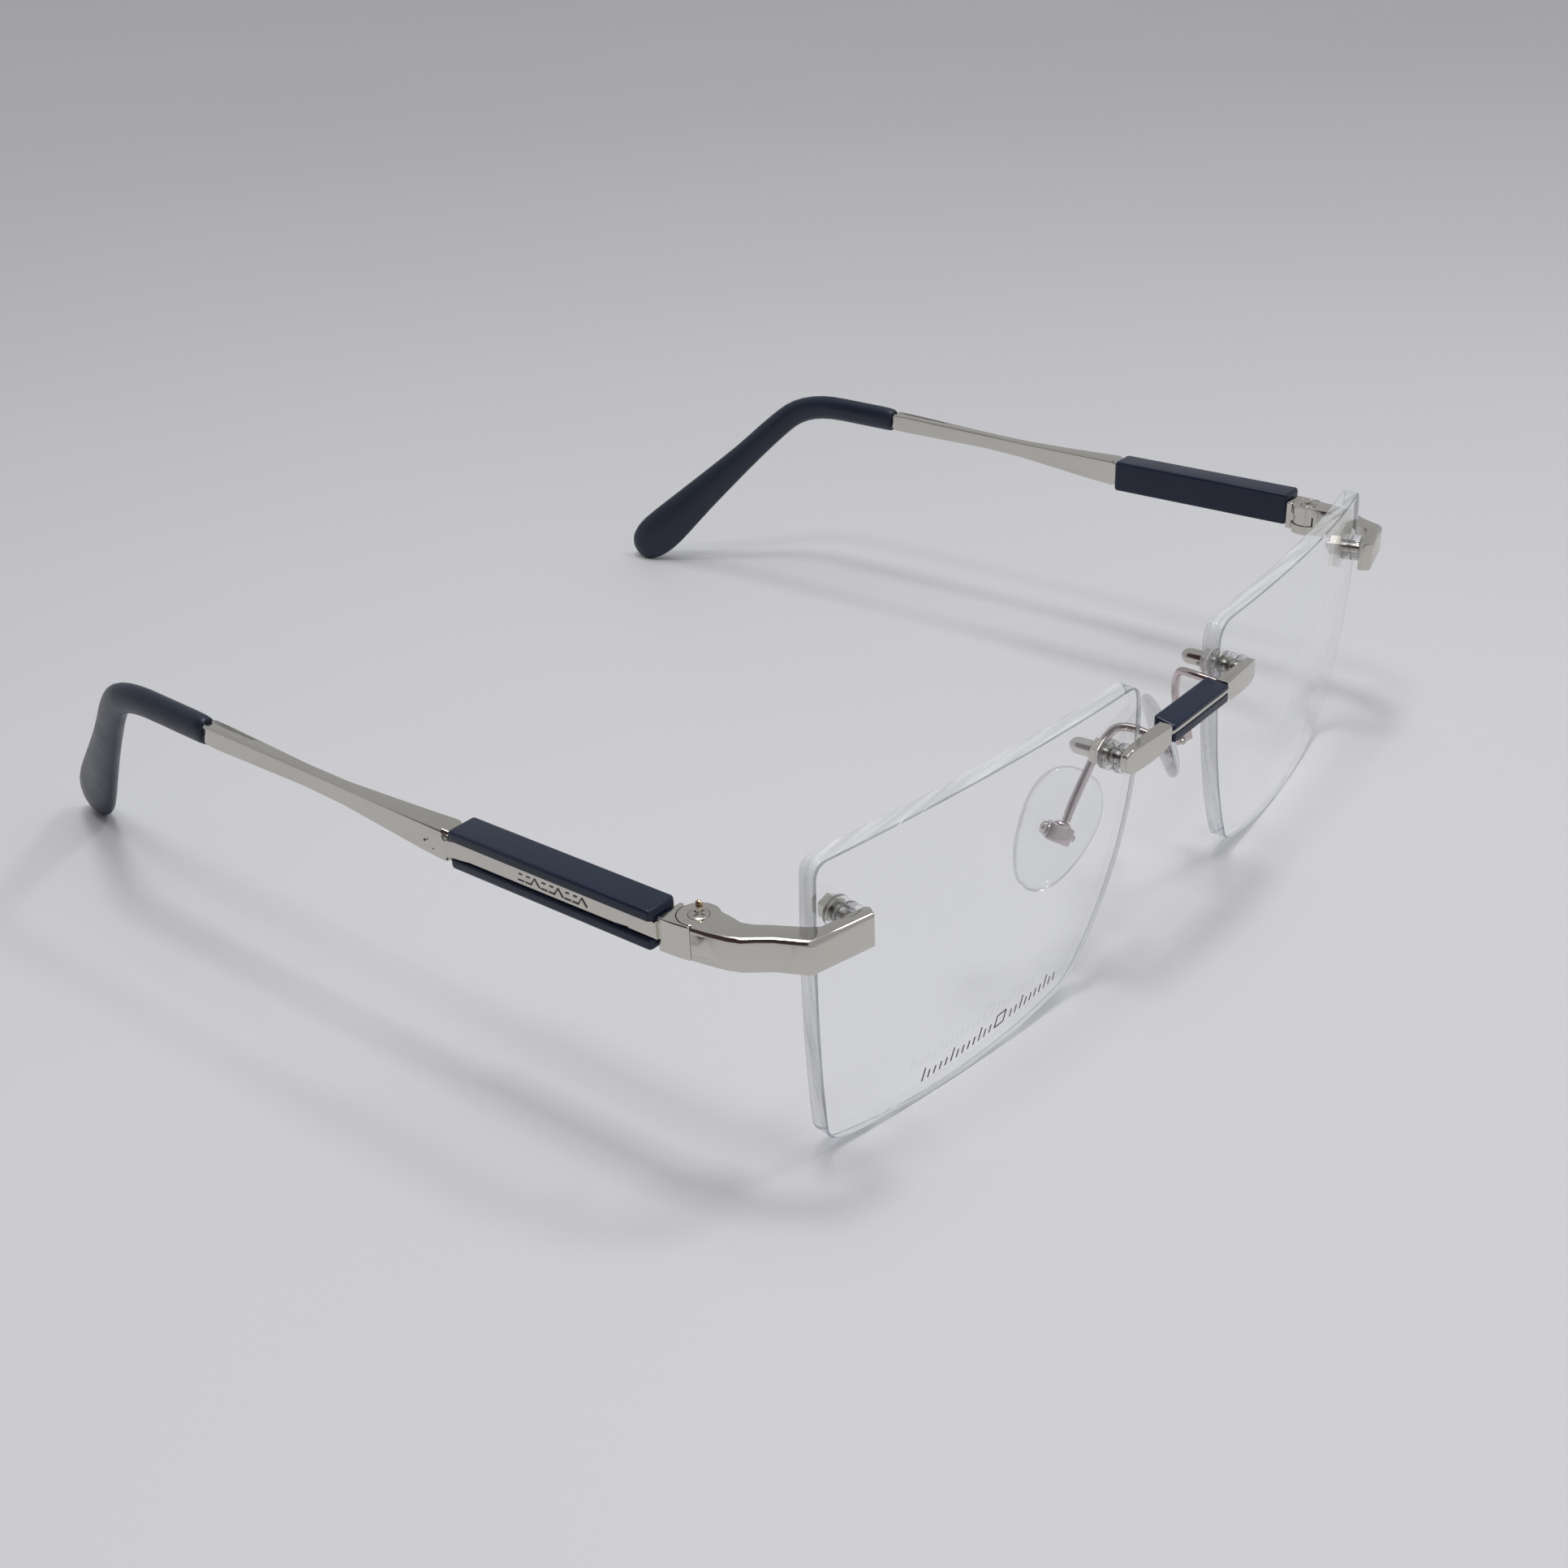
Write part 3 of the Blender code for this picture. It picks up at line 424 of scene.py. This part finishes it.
def lens_outline(steps=44, arc=14):
    """The rim in the lens's own plane: four bowed edges joined by rounded corners."""
    corners = [Vector((u, v)) for u, v, _ in LENS_CORNERS]
    edges = []
    for i, bow in enumerate(LENS_BOWS):
        a = corners[i]
        b = corners[(i + 1) % 4]
        out = Vector((-(b - a).y, (b - a).x)).normalized()
        edge = []
        for k in range(steps + 1):
            share = k / steps
            edge.append(a.lerp(b, share) + out * 4 * bow * share * (1 - share))
        edges.append(edge)
    outline = []
    for i, (_, _, radius) in enumerate(LENS_CORNERS):
        before = edges[i - 1]
        after = edges[i]
        corner = after[0]
        start = walk(list(reversed(before)), radius)
        end = walk(after, radius)
        for k in range(arc + 1):
            t = k / arc
            outline.append(start * (1 - t) ** 2 + corner * 2 * t * (1 - t) + end * t * t)
        clear = CORNER_CLEAR * radius
        next_clear = CORNER_CLEAR * LENS_CORNERS[(i + 1) % 4][2]
        for p in after:
            if (p - after[0]).length > clear and (p - after[-1]).length > next_clear:
                outline.append(p)
    return outline


def drill(where, side):
    """Cutter for a hole: straight back at the nose, square to the lens at the temple."""
    u, v = NASAL_HOLE if where == "nasal" else TEMPORAL_HOLE
    back = Vector((0.0, 1.0, 0.0))
    if where == "temporal":
        along, rise, front = lens_axes()
        back = -(front * math.sqrt(LENS_RADIUS**2 - u * u - v * v) + along * u + rise * v)
        back.z = 0.0
        back.normalize()
    base = lens_point(u, v)
    across = back.cross(Vector((0.0, 0.0, 1.0))).normalized()
    high = across.cross(back)
    rings = []
    for depth in (-DRILL_PAST, LENS_THICK + DRILL_PAST):
        ring = []
        for k in range(40):
            angle = 2 * math.pi * k / 40
            spoke = across * math.cos(angle) + high * math.sin(angle)
            ring.append(base + back * depth + spoke * HOLE_R)
        rings.append(ring)
    return mesh_of(f"drill_{where}", *loft(rings), side)


def build_lenses():
    """Each lens in rings, from the middle of its front over the ground edge to its back."""
    outline = lens_outline()
    inner = 1.0 - LENS_BEVEL / LENS_REACH
    scales = (0.2, 0.4, 0.6, 0.8, 0.93, inner)
    stations = [(s, 0.0) for s in scales] + [(1.0, LENS_BEVEL), (1.0, LENS_THICK - LENS_BEVEL)]
    stations += [(s, LENS_THICK) for s in reversed(scales)]
    rings = [[lens_point(0.0, 0.0)]]
    for scale, depth in stations:
        size = scale * LENS_TRIM
        rings.append([lens_point(p.x * size, p.y * size, depth) for p in outline])
    rings.append([lens_point(0.0, 0.0, LENS_THICK)])
    looks = (LENS, LENS_EDGE, LENS_LINE)
    bevel = len(scales)
    rim_looks = {bevel: 2, bevel + 1: 1, bevel + 2: 2}  # bands of faces that aren't plain lens
    for label, side in SIDES:
        lens = mesh_of(f"lens_{label}_shown", *loft(rings), side, 25.0)
        for material in looks:
            lens.data.materials.append(material)
        for i, polygon in enumerate(lens.data.polygons):
            polygon.material_index = rim_looks.get(i // len(outline), 0)
        carve(lens, drill("nasal", side), drill("temporal", side))
        smooth(lens.data, 25.0)
        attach(lens, "front")
        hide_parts(f"lens_{label}")


# ---------------------------------------------------------------- nose pads


def pad_axes():
    rise, splay, turn = (math.radians(a) for a in (PAD_RISE, PAD_SPLAY, PAD_TURN))
    level = math.cos(rise)
    nose = Vector((-math.cos(splay) * level, math.sin(splay) * level, -math.sin(rise)))
    forward = Vector((0.0, 0.0, 1.0)).cross(nose).normalized()
    up = nose.cross(forward) * math.cos(turn) + forward * math.sin(turn)
    return up, nose, nose.cross(up).normalized()


def pad_place(across, along, out):
    up, nose, screw = pad_axes()
    return PAD_PIVOT + screw * across + up * along + nose * out


def pad_outline(angle):
    """A point of the outline in shares of its half sizes. It is wider at the top."""
    wide, tall = math.cos(angle), math.sin(angle)
    reach = (abs(wide) ** PAD_SQUARENESS + abs(tall) ** PAD_SQUARENESS) ** (-1.0 / PAD_SQUARENESS)
    return wide * reach * (1.0 + PAD_EGG * tall * reach), tall * reach


def pad_cushion(sides=72):
    """The soft cushion, in rings from its flat back to the middle of its domed face."""
    half_long, half_wide = PAD_HALF
    rings = [[pad_place(0.0, 0.0, PAD_FACE)]]
    for height, scale in PAD_LEVELS:
        ring = []
        for k in range(sides):
            wide, tall = pad_outline(2 * math.pi * k / sides)
            across = wide * half_wide * scale
            along = tall * half_long * scale
            ring.append(pad_place(across, along, PAD_FACE + height))
        rings.append(ring)
    rings.append([pad_place(0.0, 0.0, PAD_FACE + PAD_THICK)])
    return rings


def pad_foot(steps=6):
    """The square foot with rounded corners that the cushion stands on."""
    straight = FOOT_HALF - FOOT_CORNER
    rings = []
    for out, grow in ((1.22, -0.1), (1.3, 0.0), (PAD_FACE + 0.2, 0.0)):
        reach = FOOT_CORNER + grow
        ring = []
        for cx, cy, start in ((1, 1, 0), (-1, 1, 90), (-1, -1, 180), (1, -1, 270)):
            for k in range(steps + 1):
                angle = math.radians(start + 90 * k / steps)
                across = cx * straight + math.cos(angle) * reach
                along = cy * straight + math.sin(angle) * reach
                ring.append(pad_place(across, along, out))
        rings.append(ring)
    return rings


def pad_tongue(steps=16):
    """The round-ended tongue that the pad screw passes through."""
    rings = []
    for across in (-TONGUE_HALF, TONGUE_HALF):
        ring = [pad_place(across, TONGUE_R, PAD_FACE + 0.1)]
        for k in range(steps + 1):
            angle = math.pi * k / steps
            ring.append(pad_place(across, TONGUE_R * math.cos(angle), -TONGUE_R * math.sin(angle)))
        ring.append(pad_place(across, -TONGUE_R, PAD_FACE + 0.1))
        rings.append(ring)
    return rings


def build_pads():
    for label, side in SIDES:
        pad = mesh_of(f"nose_pad_{label}_shown", *loft(pad_cushion()), side, 50.0)
        block = mesh_of("pad_foot", *loft(pad_foot()), side)
        stem = mesh_of("pad_stem", *loft(pad_tongue()), side)
        carve(pad, block, stem, operation="UNION")
        smooth(pad.data, 35.0)
        show(pad, f"nose_pad_{label}", PAD)


# ---------------------------------------------------------------- marks


def bar_on(name, place, strokes, thick, side, body, material):
    """Thin strokes between two heights. place(a, b, height) gives a point of the surface."""
    verts = []
    faces = []
    for (a0, b0), (a1, b1), width in strokes:
        length = math.hypot(a1 - a0, b1 - b0)
        na, nb = -(b1 - b0) / length * width / 2, (a1 - a0) / length * width / 2
        flat = ((a0 + na, b0 + nb), (a0 - na, b0 - nb), (a1 - na, b1 - nb), (a1 + na, b1 + nb))
        start = len(verts)
        for height in thick:
            verts.extend(place(a, b, height) for a, b in flat)
        quads = ((0, 1, 2, 3), (7, 6, 5, 4), (0, 4, 5, 1), (1, 5, 6, 2), (2, 6, 7, 3), (3, 7, 4, 0))
        faces.extend(tuple(start + k for k in quad) for quad in quads)
    add_detail(mesh_of(name, verts, faces, side, 20.0), body, material)


SCALE_ENDS = ((11.2, -16.0), (-12.8, -14.0))
SCALE_STEP = 0.9
SCALE_LEAN = 0.28
SCALE_BOX = ((12.0, 0.1), (13.5, 0.1), (13.5, 1.65), (12.0, 1.65))
SCALE_BOX_ROOM = (11.6, 13.9)
SHORT_TICK = 1.05
LONG_TICK = 1.75
TICK_WIDTH = 0.2
INK_LAYER = (-0.03, -0.006)  # negative lens depths stand in front of it


def build_lens_marks():
    """A fitting scale on the right lens: a row of plain leaning ticks and one open square."""
    low, high = (Vector(end) for end in SCALE_ENDS)
    along = (high - low).normalized()
    upward = Vector((along.y, -along.x))

    def spot(distance, height):
        p = low + along * (distance + SCALE_LEAN * height) + upward * height
        return (p.x, p.y)

    strokes = []
    distance = 0.3
    while distance < (high - low).length - 0.4:
        if not SCALE_BOX_ROOM[0] < distance < SCALE_BOX_ROOM[1]:
            tall = SHORT_TICK if len(strokes) % 5 else LONG_TICK
            strokes.append((spot(distance, 0.0), spot(distance, tall), TICK_WIDTH))
        distance += SCALE_STEP
    for start, end in zip(SCALE_BOX, SCALE_BOX[1:] + SCALE_BOX[:1]):
        strokes.append((spot(*start), spot(*end), TICK_WIDTH))
    bar_on(
        "lens_scale_right",
        lens_point,
        strokes,
        INK_LAYER,
        -1.0,
        "front",
        INK,
    )


ARM_MARKS_AT = (27.6, 29.55)
ARM_MARKS_OUT = 70.775
ARM_MARK_STEP = 1.1
ARM_MARK_WIDTH = 0.16
ARM_MARK_LAYER = (0.0, 0.03)
PEAK = (((0.0, 0.0), (0.62, 0.9)), ((0.62, 0.9), (1.24, 0.0)))
DASHES = (((0.0, 0.05), (0.9, 0.05)), ((0.2, 0.8), (0.7, 0.8)))


def build_arm_marks():
    """A plain row of engraved peaks and dashes on the metal strip of the right arm."""
    y, z = ARM_MARKS_AT
    strokes = []
    for k in range(9):
        for (y0, z0), (y1, z1) in DASHES if k % 3 else PEAK:
            strokes.append(((y + y0, z + z0), (y + y1, z + z1), ARM_MARK_WIDTH))
        y += ARM_MARK_STEP
    bar_on(
        "arm_marks_right",
        lambda a, b, h: Vector((ARM_MARKS_OUT + h, a, b)),
        strokes,
        ARM_MARK_LAYER,
        -1.0,
        "temple_right_arm",
        DARK_MARKS_AND_SHADE,
    )


# ---------------------------------------------------------------- sleeves and strips


ARM_SLEEVE_ENDS = (18.75, 47.2)
BRIDGE_SLEEVE_HALF = 6.45
BRIDGE_SLEEVE_FLARE = 0.0093  # its front is this much wider per millimetre of depth
ARM_CHANNEL = (  # out, up, which way each corner eases in at the ends, and its radius
    (71.15, 31.12, 1, 0, 0.16),
    (71.15, 32.35, 1, 1, 0.42),
    (67.2, 32.35, -1, 1, 0.42),
    (67.2, 27.75, -1, -1, 0.42),
    (71.15, 27.75, 1, -1, 0.42),
    (71.15, 28.9, 1, 0, 0.16),
    (68.55, 28.9, 0, 0, 0.0),
    (68.55, 31.12, 0, 0, 0.0),
)
BRIDGE_CHANNEL = (  # depth, up, and the rest as above
    (-3.0, 31.05, -1, 0, 0.1),
    (-3.0, 31.58, -1, 1, 0.24),
    (-0.1, 32.14, 1, 1, 0.36),
    (-0.1, 29.42, 1, -1, 0.3),
    (-3.0, 29.4, -1, -1, 0.24),
    (-3.0, 30.5, -1, 0, 0.1),
    (-2.67, 30.5, 0, 0, 0.0),
    (-2.67, 30.3, 0, 0, 0.0),
    (-0.98, 30.3, 0, 0, 0.0),
    (-0.98, 31.2, 0, 0, 0.0),
    (-2.67, 31.2, 0, 0, 0.0),
    (-2.67, 31.05, 0, 0, 0.0),
)


def channel_ring(section, inset, steps=6):
    """A sleeve's section with its skin eased in by an inset."""
    points = [Vector((a - da * inset, b - db * inset)) for a, b, da, db, _ in section]
    ring = []
    for i, (_, _, _, _, radius) in enumerate(section):
        corner = points[i]
        if not radius:
            ring.append(corner)
            continue
        before = points[i - 1]
        after = points[(i + 1) % len(points)]
        start = corner + (before - corner).normalized() * radius
        end = corner + (after - corner).normalized() * radius
        for k in range(steps + 1):
            t = k / steps
            ring.append(start * (1 - t) ** 2 + corner * 2 * t * (1 - t) + end * t * t)
    return ring


def channel_stations(low, high, radius, steps=6):
    """Places along a sleeve, and how far its skin eases in there to round both ends."""
    start = []
    for k in range(steps + 1):
        angle = math.pi / 2 * k / steps
        start.append((low + radius * (1 - math.cos(angle)), radius * (1 - math.sin(angle))))
    return start + [(high - (at - low), inset) for at, inset in reversed(start)]


def build_sleeves():
    for label, side in SIDES:
        rings = []
        for y, inset in channel_stations(*ARM_SLEEVE_ENDS, 0.5):
            rings.append([(p.x, y, p.y) for p in channel_ring(ARM_CHANNEL, inset)])
        sleeve = mesh_of(f"temple_sleeve_{label}_shown", *loft(rings), side, 48.0)
        show(sleeve, f"temple_sleeve_{label}", NAVY)
    rings = []
    for x, inset in channel_stations(-BRIDGE_SLEEVE_HALF, BRIDGE_SLEEVE_HALF, 0.4):
        ring = []
        for p in channel_ring(BRIDGE_CHANNEL, inset):
            ring.append((x * (1.0 - BRIDGE_SLEEVE_FLARE * p.x), p.x, p.y))
        rings.append(ring)
    sleeve = mesh_of("bridge_sleeve_shown", *loft(rings), 1.0, 48.0)
    show(sleeve, "bridge_sleeve", NAVY)


def bar_ring(place, low, high, depth, chamfer):
    """Section of a thin strip: a flat outer face with eased edges. place(out, up) gives a point."""
    return [
        place(-depth, low),
        place(-chamfer, low),
        place(0.0, low + chamfer),
        place(0.0, high - chamfer),
        place(-chamfer, high),
        place(-depth, high),
    ]


ARM_STRIP = (  # place along the arm, outer face, lower and upper edge
    (18.2, 70.3, 28.97, 31.06),
    (19.0, 70.38, 28.94, 31.08),
    (21.0, 70.55, 28.93, 31.09),
    (24.0, 70.72, 28.92, 31.1),
    (44.5, 70.78, 28.92, 31.1),
    (46.4, 70.92, 28.92, 31.1),
    (47.6, 71.13, 28.93, 31.09),
)
# Place along the bridge and outer face
BRIDGE_STRIP = ((-6.95, 2.72), (-6.5, 2.84), (-5.6, 2.9), (5.6, 2.9), (6.5, 2.84), (6.95, 2.72))
BRIDGE_STRIP_EDGES = (30.52, 31.03)


def build_strips():
    """The bright strips in the slots of the sleeves. They run out over the metal at both ends."""
    for label, side in SIDES:
        rings = []
        for y, out, low, high in ARM_STRIP:
            place = lambda a, b, y=y, out=out: (out + a, y, b)
            rings.append(bar_ring(place, low, high, 0.3, 0.1))
        strip = mesh_of(f"temple_strip_{label}", *loft(rings), side, 30.0)
        add_detail(strip, f"temple_{label}_arm", NICKEL)
    rings = []
    for x, out in BRIDGE_STRIP:
        place = lambda a, b, x=x, out=out: (x, -(out + a), b)
        rings.append(bar_ring(place, *BRIDGE_STRIP_EDGES, 0.2, 0.08))
    strip = mesh_of("bridge_strip", *loft(rings), 1.0, 30.0)
    add_detail(strip, "front", NICKEL)


def box_axes(across, along, tall):
    return (Vector((across, 0, 0)), Vector((0, along, 0)), Vector((0, 0, tall)))


def blob(name, centre, axes, side, body, material, lumps):
    """A small rounded lump, uneven as solder is. axes holds its three half sizes as vectors."""
    bm = bmesh.new()
    bmesh.ops.create_icosphere(bm, subdivisions=3, radius=1.0)
    for vert in bm.verts:
        x, y, z = vert.co
        waves = math.sin(3.1 * x + 1.3) + math.sin(4.3 * y + 0.4) + math.sin(3.7 * z + 2.2)
        swell = 1.0 + lumps * waves
        vert.co = placed(Vector(centre) + (axes[0] * x + axes[1] * y + axes[2] * z) * swell, side)
    bmesh.ops.recalc_face_normals(bm, faces=bm.faces)
    mesh = bpy.data.meshes.new(name)
    bm.to_mesh(mesh)
    bm.free()
    smooth(mesh, 60.0)
    add_detail(link(name, mesh), body, material)


def build_solder():
    """The lumps that hold each pad wire to its box and to the bridge."""
    up, nose, screw = pad_axes()
    at_box = pad_place(0.05, 1.05, -0.95)
    box_lump = (screw * 0.95, up * 0.55, nose * 0.66)
    at_bridge = (8.3, -0.75, 30.5)
    bridge_lump = box_axes(1.0, 0.42, 0.6)
    for label, side in SIDES:
        for name, centre, axes, material in (
            ("pad_solder", at_box, box_lump, ROSY),
            ("wire_solder", at_bridge, bridge_lump, NICKEL),
        ):
            blob(f"{name}_{label}", centre, axes, side, "front", material, 0.05)


RIVET = (70.84, 47.55, 31.24)
# painted shade: a dark blob beside the rivet head stands in for the shade there
RIVET_SHADE = (71.0, 47.7, 31.24)
SPECKS_OUT = 71.04
# Place along the arm, height and half size
WORN_SPECKS = ((51.05, 29.9, 0.16), (50.6, 30.15, 0.1), (49.8, 29.25, 0.12), (47.75, 28.6, 0.14))
BEAD = (66.1, 16.75, 31.6)


def on_right_arm(name, centre, axes, material, lumps):
    body, slot = "temple_right_arm", "polished_nickel"
    blob(f"{name}_right", centre, axes, -1.0, body, material, lumps)


def build_small_marks():
    """A rivet head, a dark blob of painted shade beside it and specks of worn plating on the right
    arm, and a brass bead at its hinge.
    """
    on_right_arm("rivet", RIVET, box_axes(0.3, 0.34, 0.34), NICKEL, 0.0)
    # the rivet's shade is painted, as a dark blob in the same dark material as the marks
    on_right_arm("rivet_shade", RIVET_SHADE, box_axes(0.12, 0.62, 0.5), DARK_MARKS_AND_SHADE, 0.02)
    for k, (y, z, size) in enumerate(WORN_SPECKS):
        spread = box_axes(0.06, size, size * 0.8)
        on_right_arm(f"speck_{k}", (SPECKS_OUT, y, z), spread, DARK_MARKS_AND_SHADE, 0.08)
    blob("bead_right", BEAD, box_axes(0.3, 0.42, 0.3), -1.0, "front", BRASS, 0.05)


# ---------------------------------------------------------------- refined CAD pieces


END_CONTOUR = (  # the outer side of an end piece, from the hinge seam to the tip of its lug
    (70.03, 14.95),
    (69.98, 14.6),
    (69.75, 12.8),
    (69.3, 10.6),
    (68.8, 9.3),
    (67.95, 8.15),
    (66.95, 6.8),
    (66.2, 5.2),
    (65.56, 3.77),
    (65.11, 3.37),
    (57.79, 1.59),
    (56.8, 1.35),
)
END_TOP = 31.45
END_BOTTOM = 27.55
END_ROUND_TOP = 0.6
END_ROUND_LOW = 0.42
CUTTER_PAST = 0.5


def fillet_cutter(name, contour, level, rise, radius, side, steps=7):
    """What a round takes off along the edge of a flat top (rise 1) or bottom (rise -1)."""
    path = [Vector((*p, 0.0)) for p in contour]
    rings = []
    for i, point in enumerate(path):
        before = (point - path[max(i - 1, 0)]).normalized()
        after = (path[min(i + 1, len(path) - 1)] - point).normalized()
        if not before.length:
            before = after
        if not after.length:
            after = before
        travel = (before + after).normalized()
        out = Vector((-travel.y, travel.x, 0.0)) / max(travel.dot(before), 0.5)
        if out.x < 0 and out.y > 0:
            out = -out
        up = Vector((0.0, 0.0, rise))
        centre = point - out * radius + Vector((0.0, 0.0, level)) - up * radius
        ring = []
        for k in range(steps + 1):
            angle = math.pi / 2 * k / steps
            ring.append(centre + out * radius * math.cos(angle) + up * radius * math.sin(angle))
        beyond = radius + CUTTER_PAST
        ring.append(centre + up * beyond)
        ring.append(centre + out * beyond + up * beyond)
        ring.append(centre + out * beyond)
        rings.append(ring)
    return mesh_of(name, *loft(rings), side)


def build_end_pieces():
    for label, side in SIDES:
        piece = refined(f"end_piece_{label}", NICKEL, 0.0)
        top = fillet_cutter("round_top", END_CONTOUR, END_TOP, 1.0, END_ROUND_TOP, side)
        low = fillet_cutter("round_low", END_CONTOUR, END_BOTTOM, -1.0, END_ROUND_LOW, side)
        carve(piece, top, low)
        smooth(piece.data, 30.0)
        round_edges(piece, 0.08, 2, 40.0)


def build_metal():
    """The pieces that keep the frame's own shape, with their edges rounded."""
    refined("bridge", NICKEL, 0.22)
    for label, _ in SIDES:
        refined(f"temple_{label}", NICKEL, 0.12, 3, 28.0)
        refined(f"ear_tip_{label}", TIP, 0.0)
        refined(f"pad_arm_{label}", ROSY, 0.0)
        refined(f"pad_box_{label}", ROSY, 0.06, 2)
        refined(f"pad_screw_{label}", STEEL, 0.04, 2)
        refined(f"hinge_screw_{label}", STEEL, 0.05, 2)
        refined(f"cap_nut_{label}", NICKEL, 0.06, 2, 35.0)
        refined(f"hex_nut_{label}", NICKEL, 0.06, 2, 35.0)
        for where in ("nasal", "temporal"):
            refined(f"stud_{where}_{label}", STEEL, 0.03, 2)
            refined(f"bush_{where}_{label}", NYLON, 0.08, 2, 50.0)
            refined(f"washer_{where}_{label}", NYLON, 0.08, 2, 50.0)


# ---------------------------------------------------------------- table, light and camera


TABLE_HALF = 4.0


def build_table():
    square = ((-1, -1), (1, -1), (1, 1), (-1, 1))
    corners = [(x * TABLE_HALF, y * TABLE_HALF, 0.0) for x, y in square]
    mesh = bpy.data.meshes.new("table")
    mesh.from_pydata(corners, [], [(0, 1, 2, 3)])
    floor = link("table", mesh)
    material, tree, shader = material_nodes("pale_table")
    tone, _ = noise_between(tree, 3.0, 0.0, 1.0, detail=3.0)
    tinted(tree, tone, (0.695, 0.70, 0.722), (0.725, 0.727, 0.747), shader)
    shader.inputs["Roughness"].default_value = 0.55
    shader.inputs["Specular IOR Level"].default_value = 0.3
    mesh.materials.append(material)


ROOM = (0.97, 0.98, 1.0, 1.0)
ROOM_STRENGTH = 0.45
DARK_WAY = (-0.84, 0.05, 0.54)  # someone in dark clothes stands over the table on this side
DARK_CLOTHES = (0.13, 0.085, 0.105, 1.0)
LAMPS = (  # place, side length and power
    ("lamp_left", -0.184, -0.05, 0.47, 0.07, 0.24),
    ("lamp_middle", -0.038, -0.02, 0.47, 0.07, 0.4),
    ("lamp_right", 0.161, -0.2, 0.47, 0.07, 0.36),
    ("ceiling", 0.1, 0.2, 2.5, 1.4, 11.0),
)


def lamp_over_table(name, x, y, height, size, power):
    """A square lamp that faces straight down."""
    data = bpy.data.lights.new(name, "AREA")
    data.shape = "SQUARE"
    data.size = size
    data.energy = power
    lamp = bpy.data.objects.new(name, data)
    SCENE.collection.objects.link(lamp)
    lamp.location = (x, y, height)


def build_light():
    """A pale room with a dark patch that only reflections show, and four soft lamps."""
    world = bpy.data.worlds.new("studio")
    SCENE.world = world
    world.use_nodes = True
    tree = world.node_tree
    sky = tree.nodes["Background"]
    sky.inputs["Strength"].default_value = ROOM_STRENGTH
    way = add_node(tree, "ShaderNodeTexCoord")
    toward = add_node(tree, "ShaderNodeVectorMath", {1: DARK_WAY}, operation="DOT_PRODUCT")
    limits = {"From Min": 0.70, "From Max": 0.85}
    span = add_node(tree, "ShaderNodeMapRange", limits, interpolation_type="SMOOTHSTEP")
    room = add_node(tree, "ShaderNodeMix", data_type="RGBA")
    room.inputs["A"].default_value = ROOM
    room.inputs["B"].default_value = DARK_CLOTHES
    tree.links.new(way.outputs["Generated"], toward.inputs[0])
    tree.links.new(toward.outputs["Value"], span.inputs["Value"])
    tree.links.new(span.outputs["Result"], room.inputs["Factor"])
    path = add_node(tree, "ShaderNodeLightPath")
    backdrop = add_node(tree, "ShaderNodeMix", data_type="RGBA")
    backdrop.inputs["B"].default_value = ROOM
    tree.links.new(path.outputs["Is Camera Ray"], backdrop.inputs["Factor"])
    tree.links.new(room.outputs["Result"], backdrop.inputs["A"])
    tree.links.new(backdrop.outputs["Result"], sky.inputs["Color"])
    for lamp in LAMPS:
        lamp_over_table(*lamp)


CAMERA_AT = (-184.75, -92.95, 130.25)
CAMERA_RIGHT = Vector((0.62042, -0.78322, -0.04054))
CAMERA_UP = Vector((0.39118, 0.26424, 0.88157))
SENSOR = 36.0
FOCAL = 44.4770


def build_camera():
    data = bpy.data.cameras.new("camera")
    data.sensor_width = SENSOR
    data.lens = FOCAL
    data.clip_start = 0.01
    data.clip_end = 20.0
    camera = bpy.data.objects.new("camera", data)
    SCENE.collection.objects.link(camera)
    back = CAMERA_RIGHT.cross(CAMERA_UP).normalized()
    up = back.cross(CAMERA_RIGHT).normalized()
    turn = Matrix((CAMERA_RIGHT.normalized(), up, back)).transposed().to_4x4()
    camera.matrix_world = Matrix.Translation(placed(CAMERA_AT)) @ turn
    SCENE.camera = camera


SCENE.view_settings.view_transform = "Standard"
build_lenses()
build_pads()
build_lens_marks()
build_arm_marks()
build_metal()
build_end_pieces()
build_sleeves()
build_strips()
build_solder()
build_small_marks()
build_table()
build_light()
build_camera()
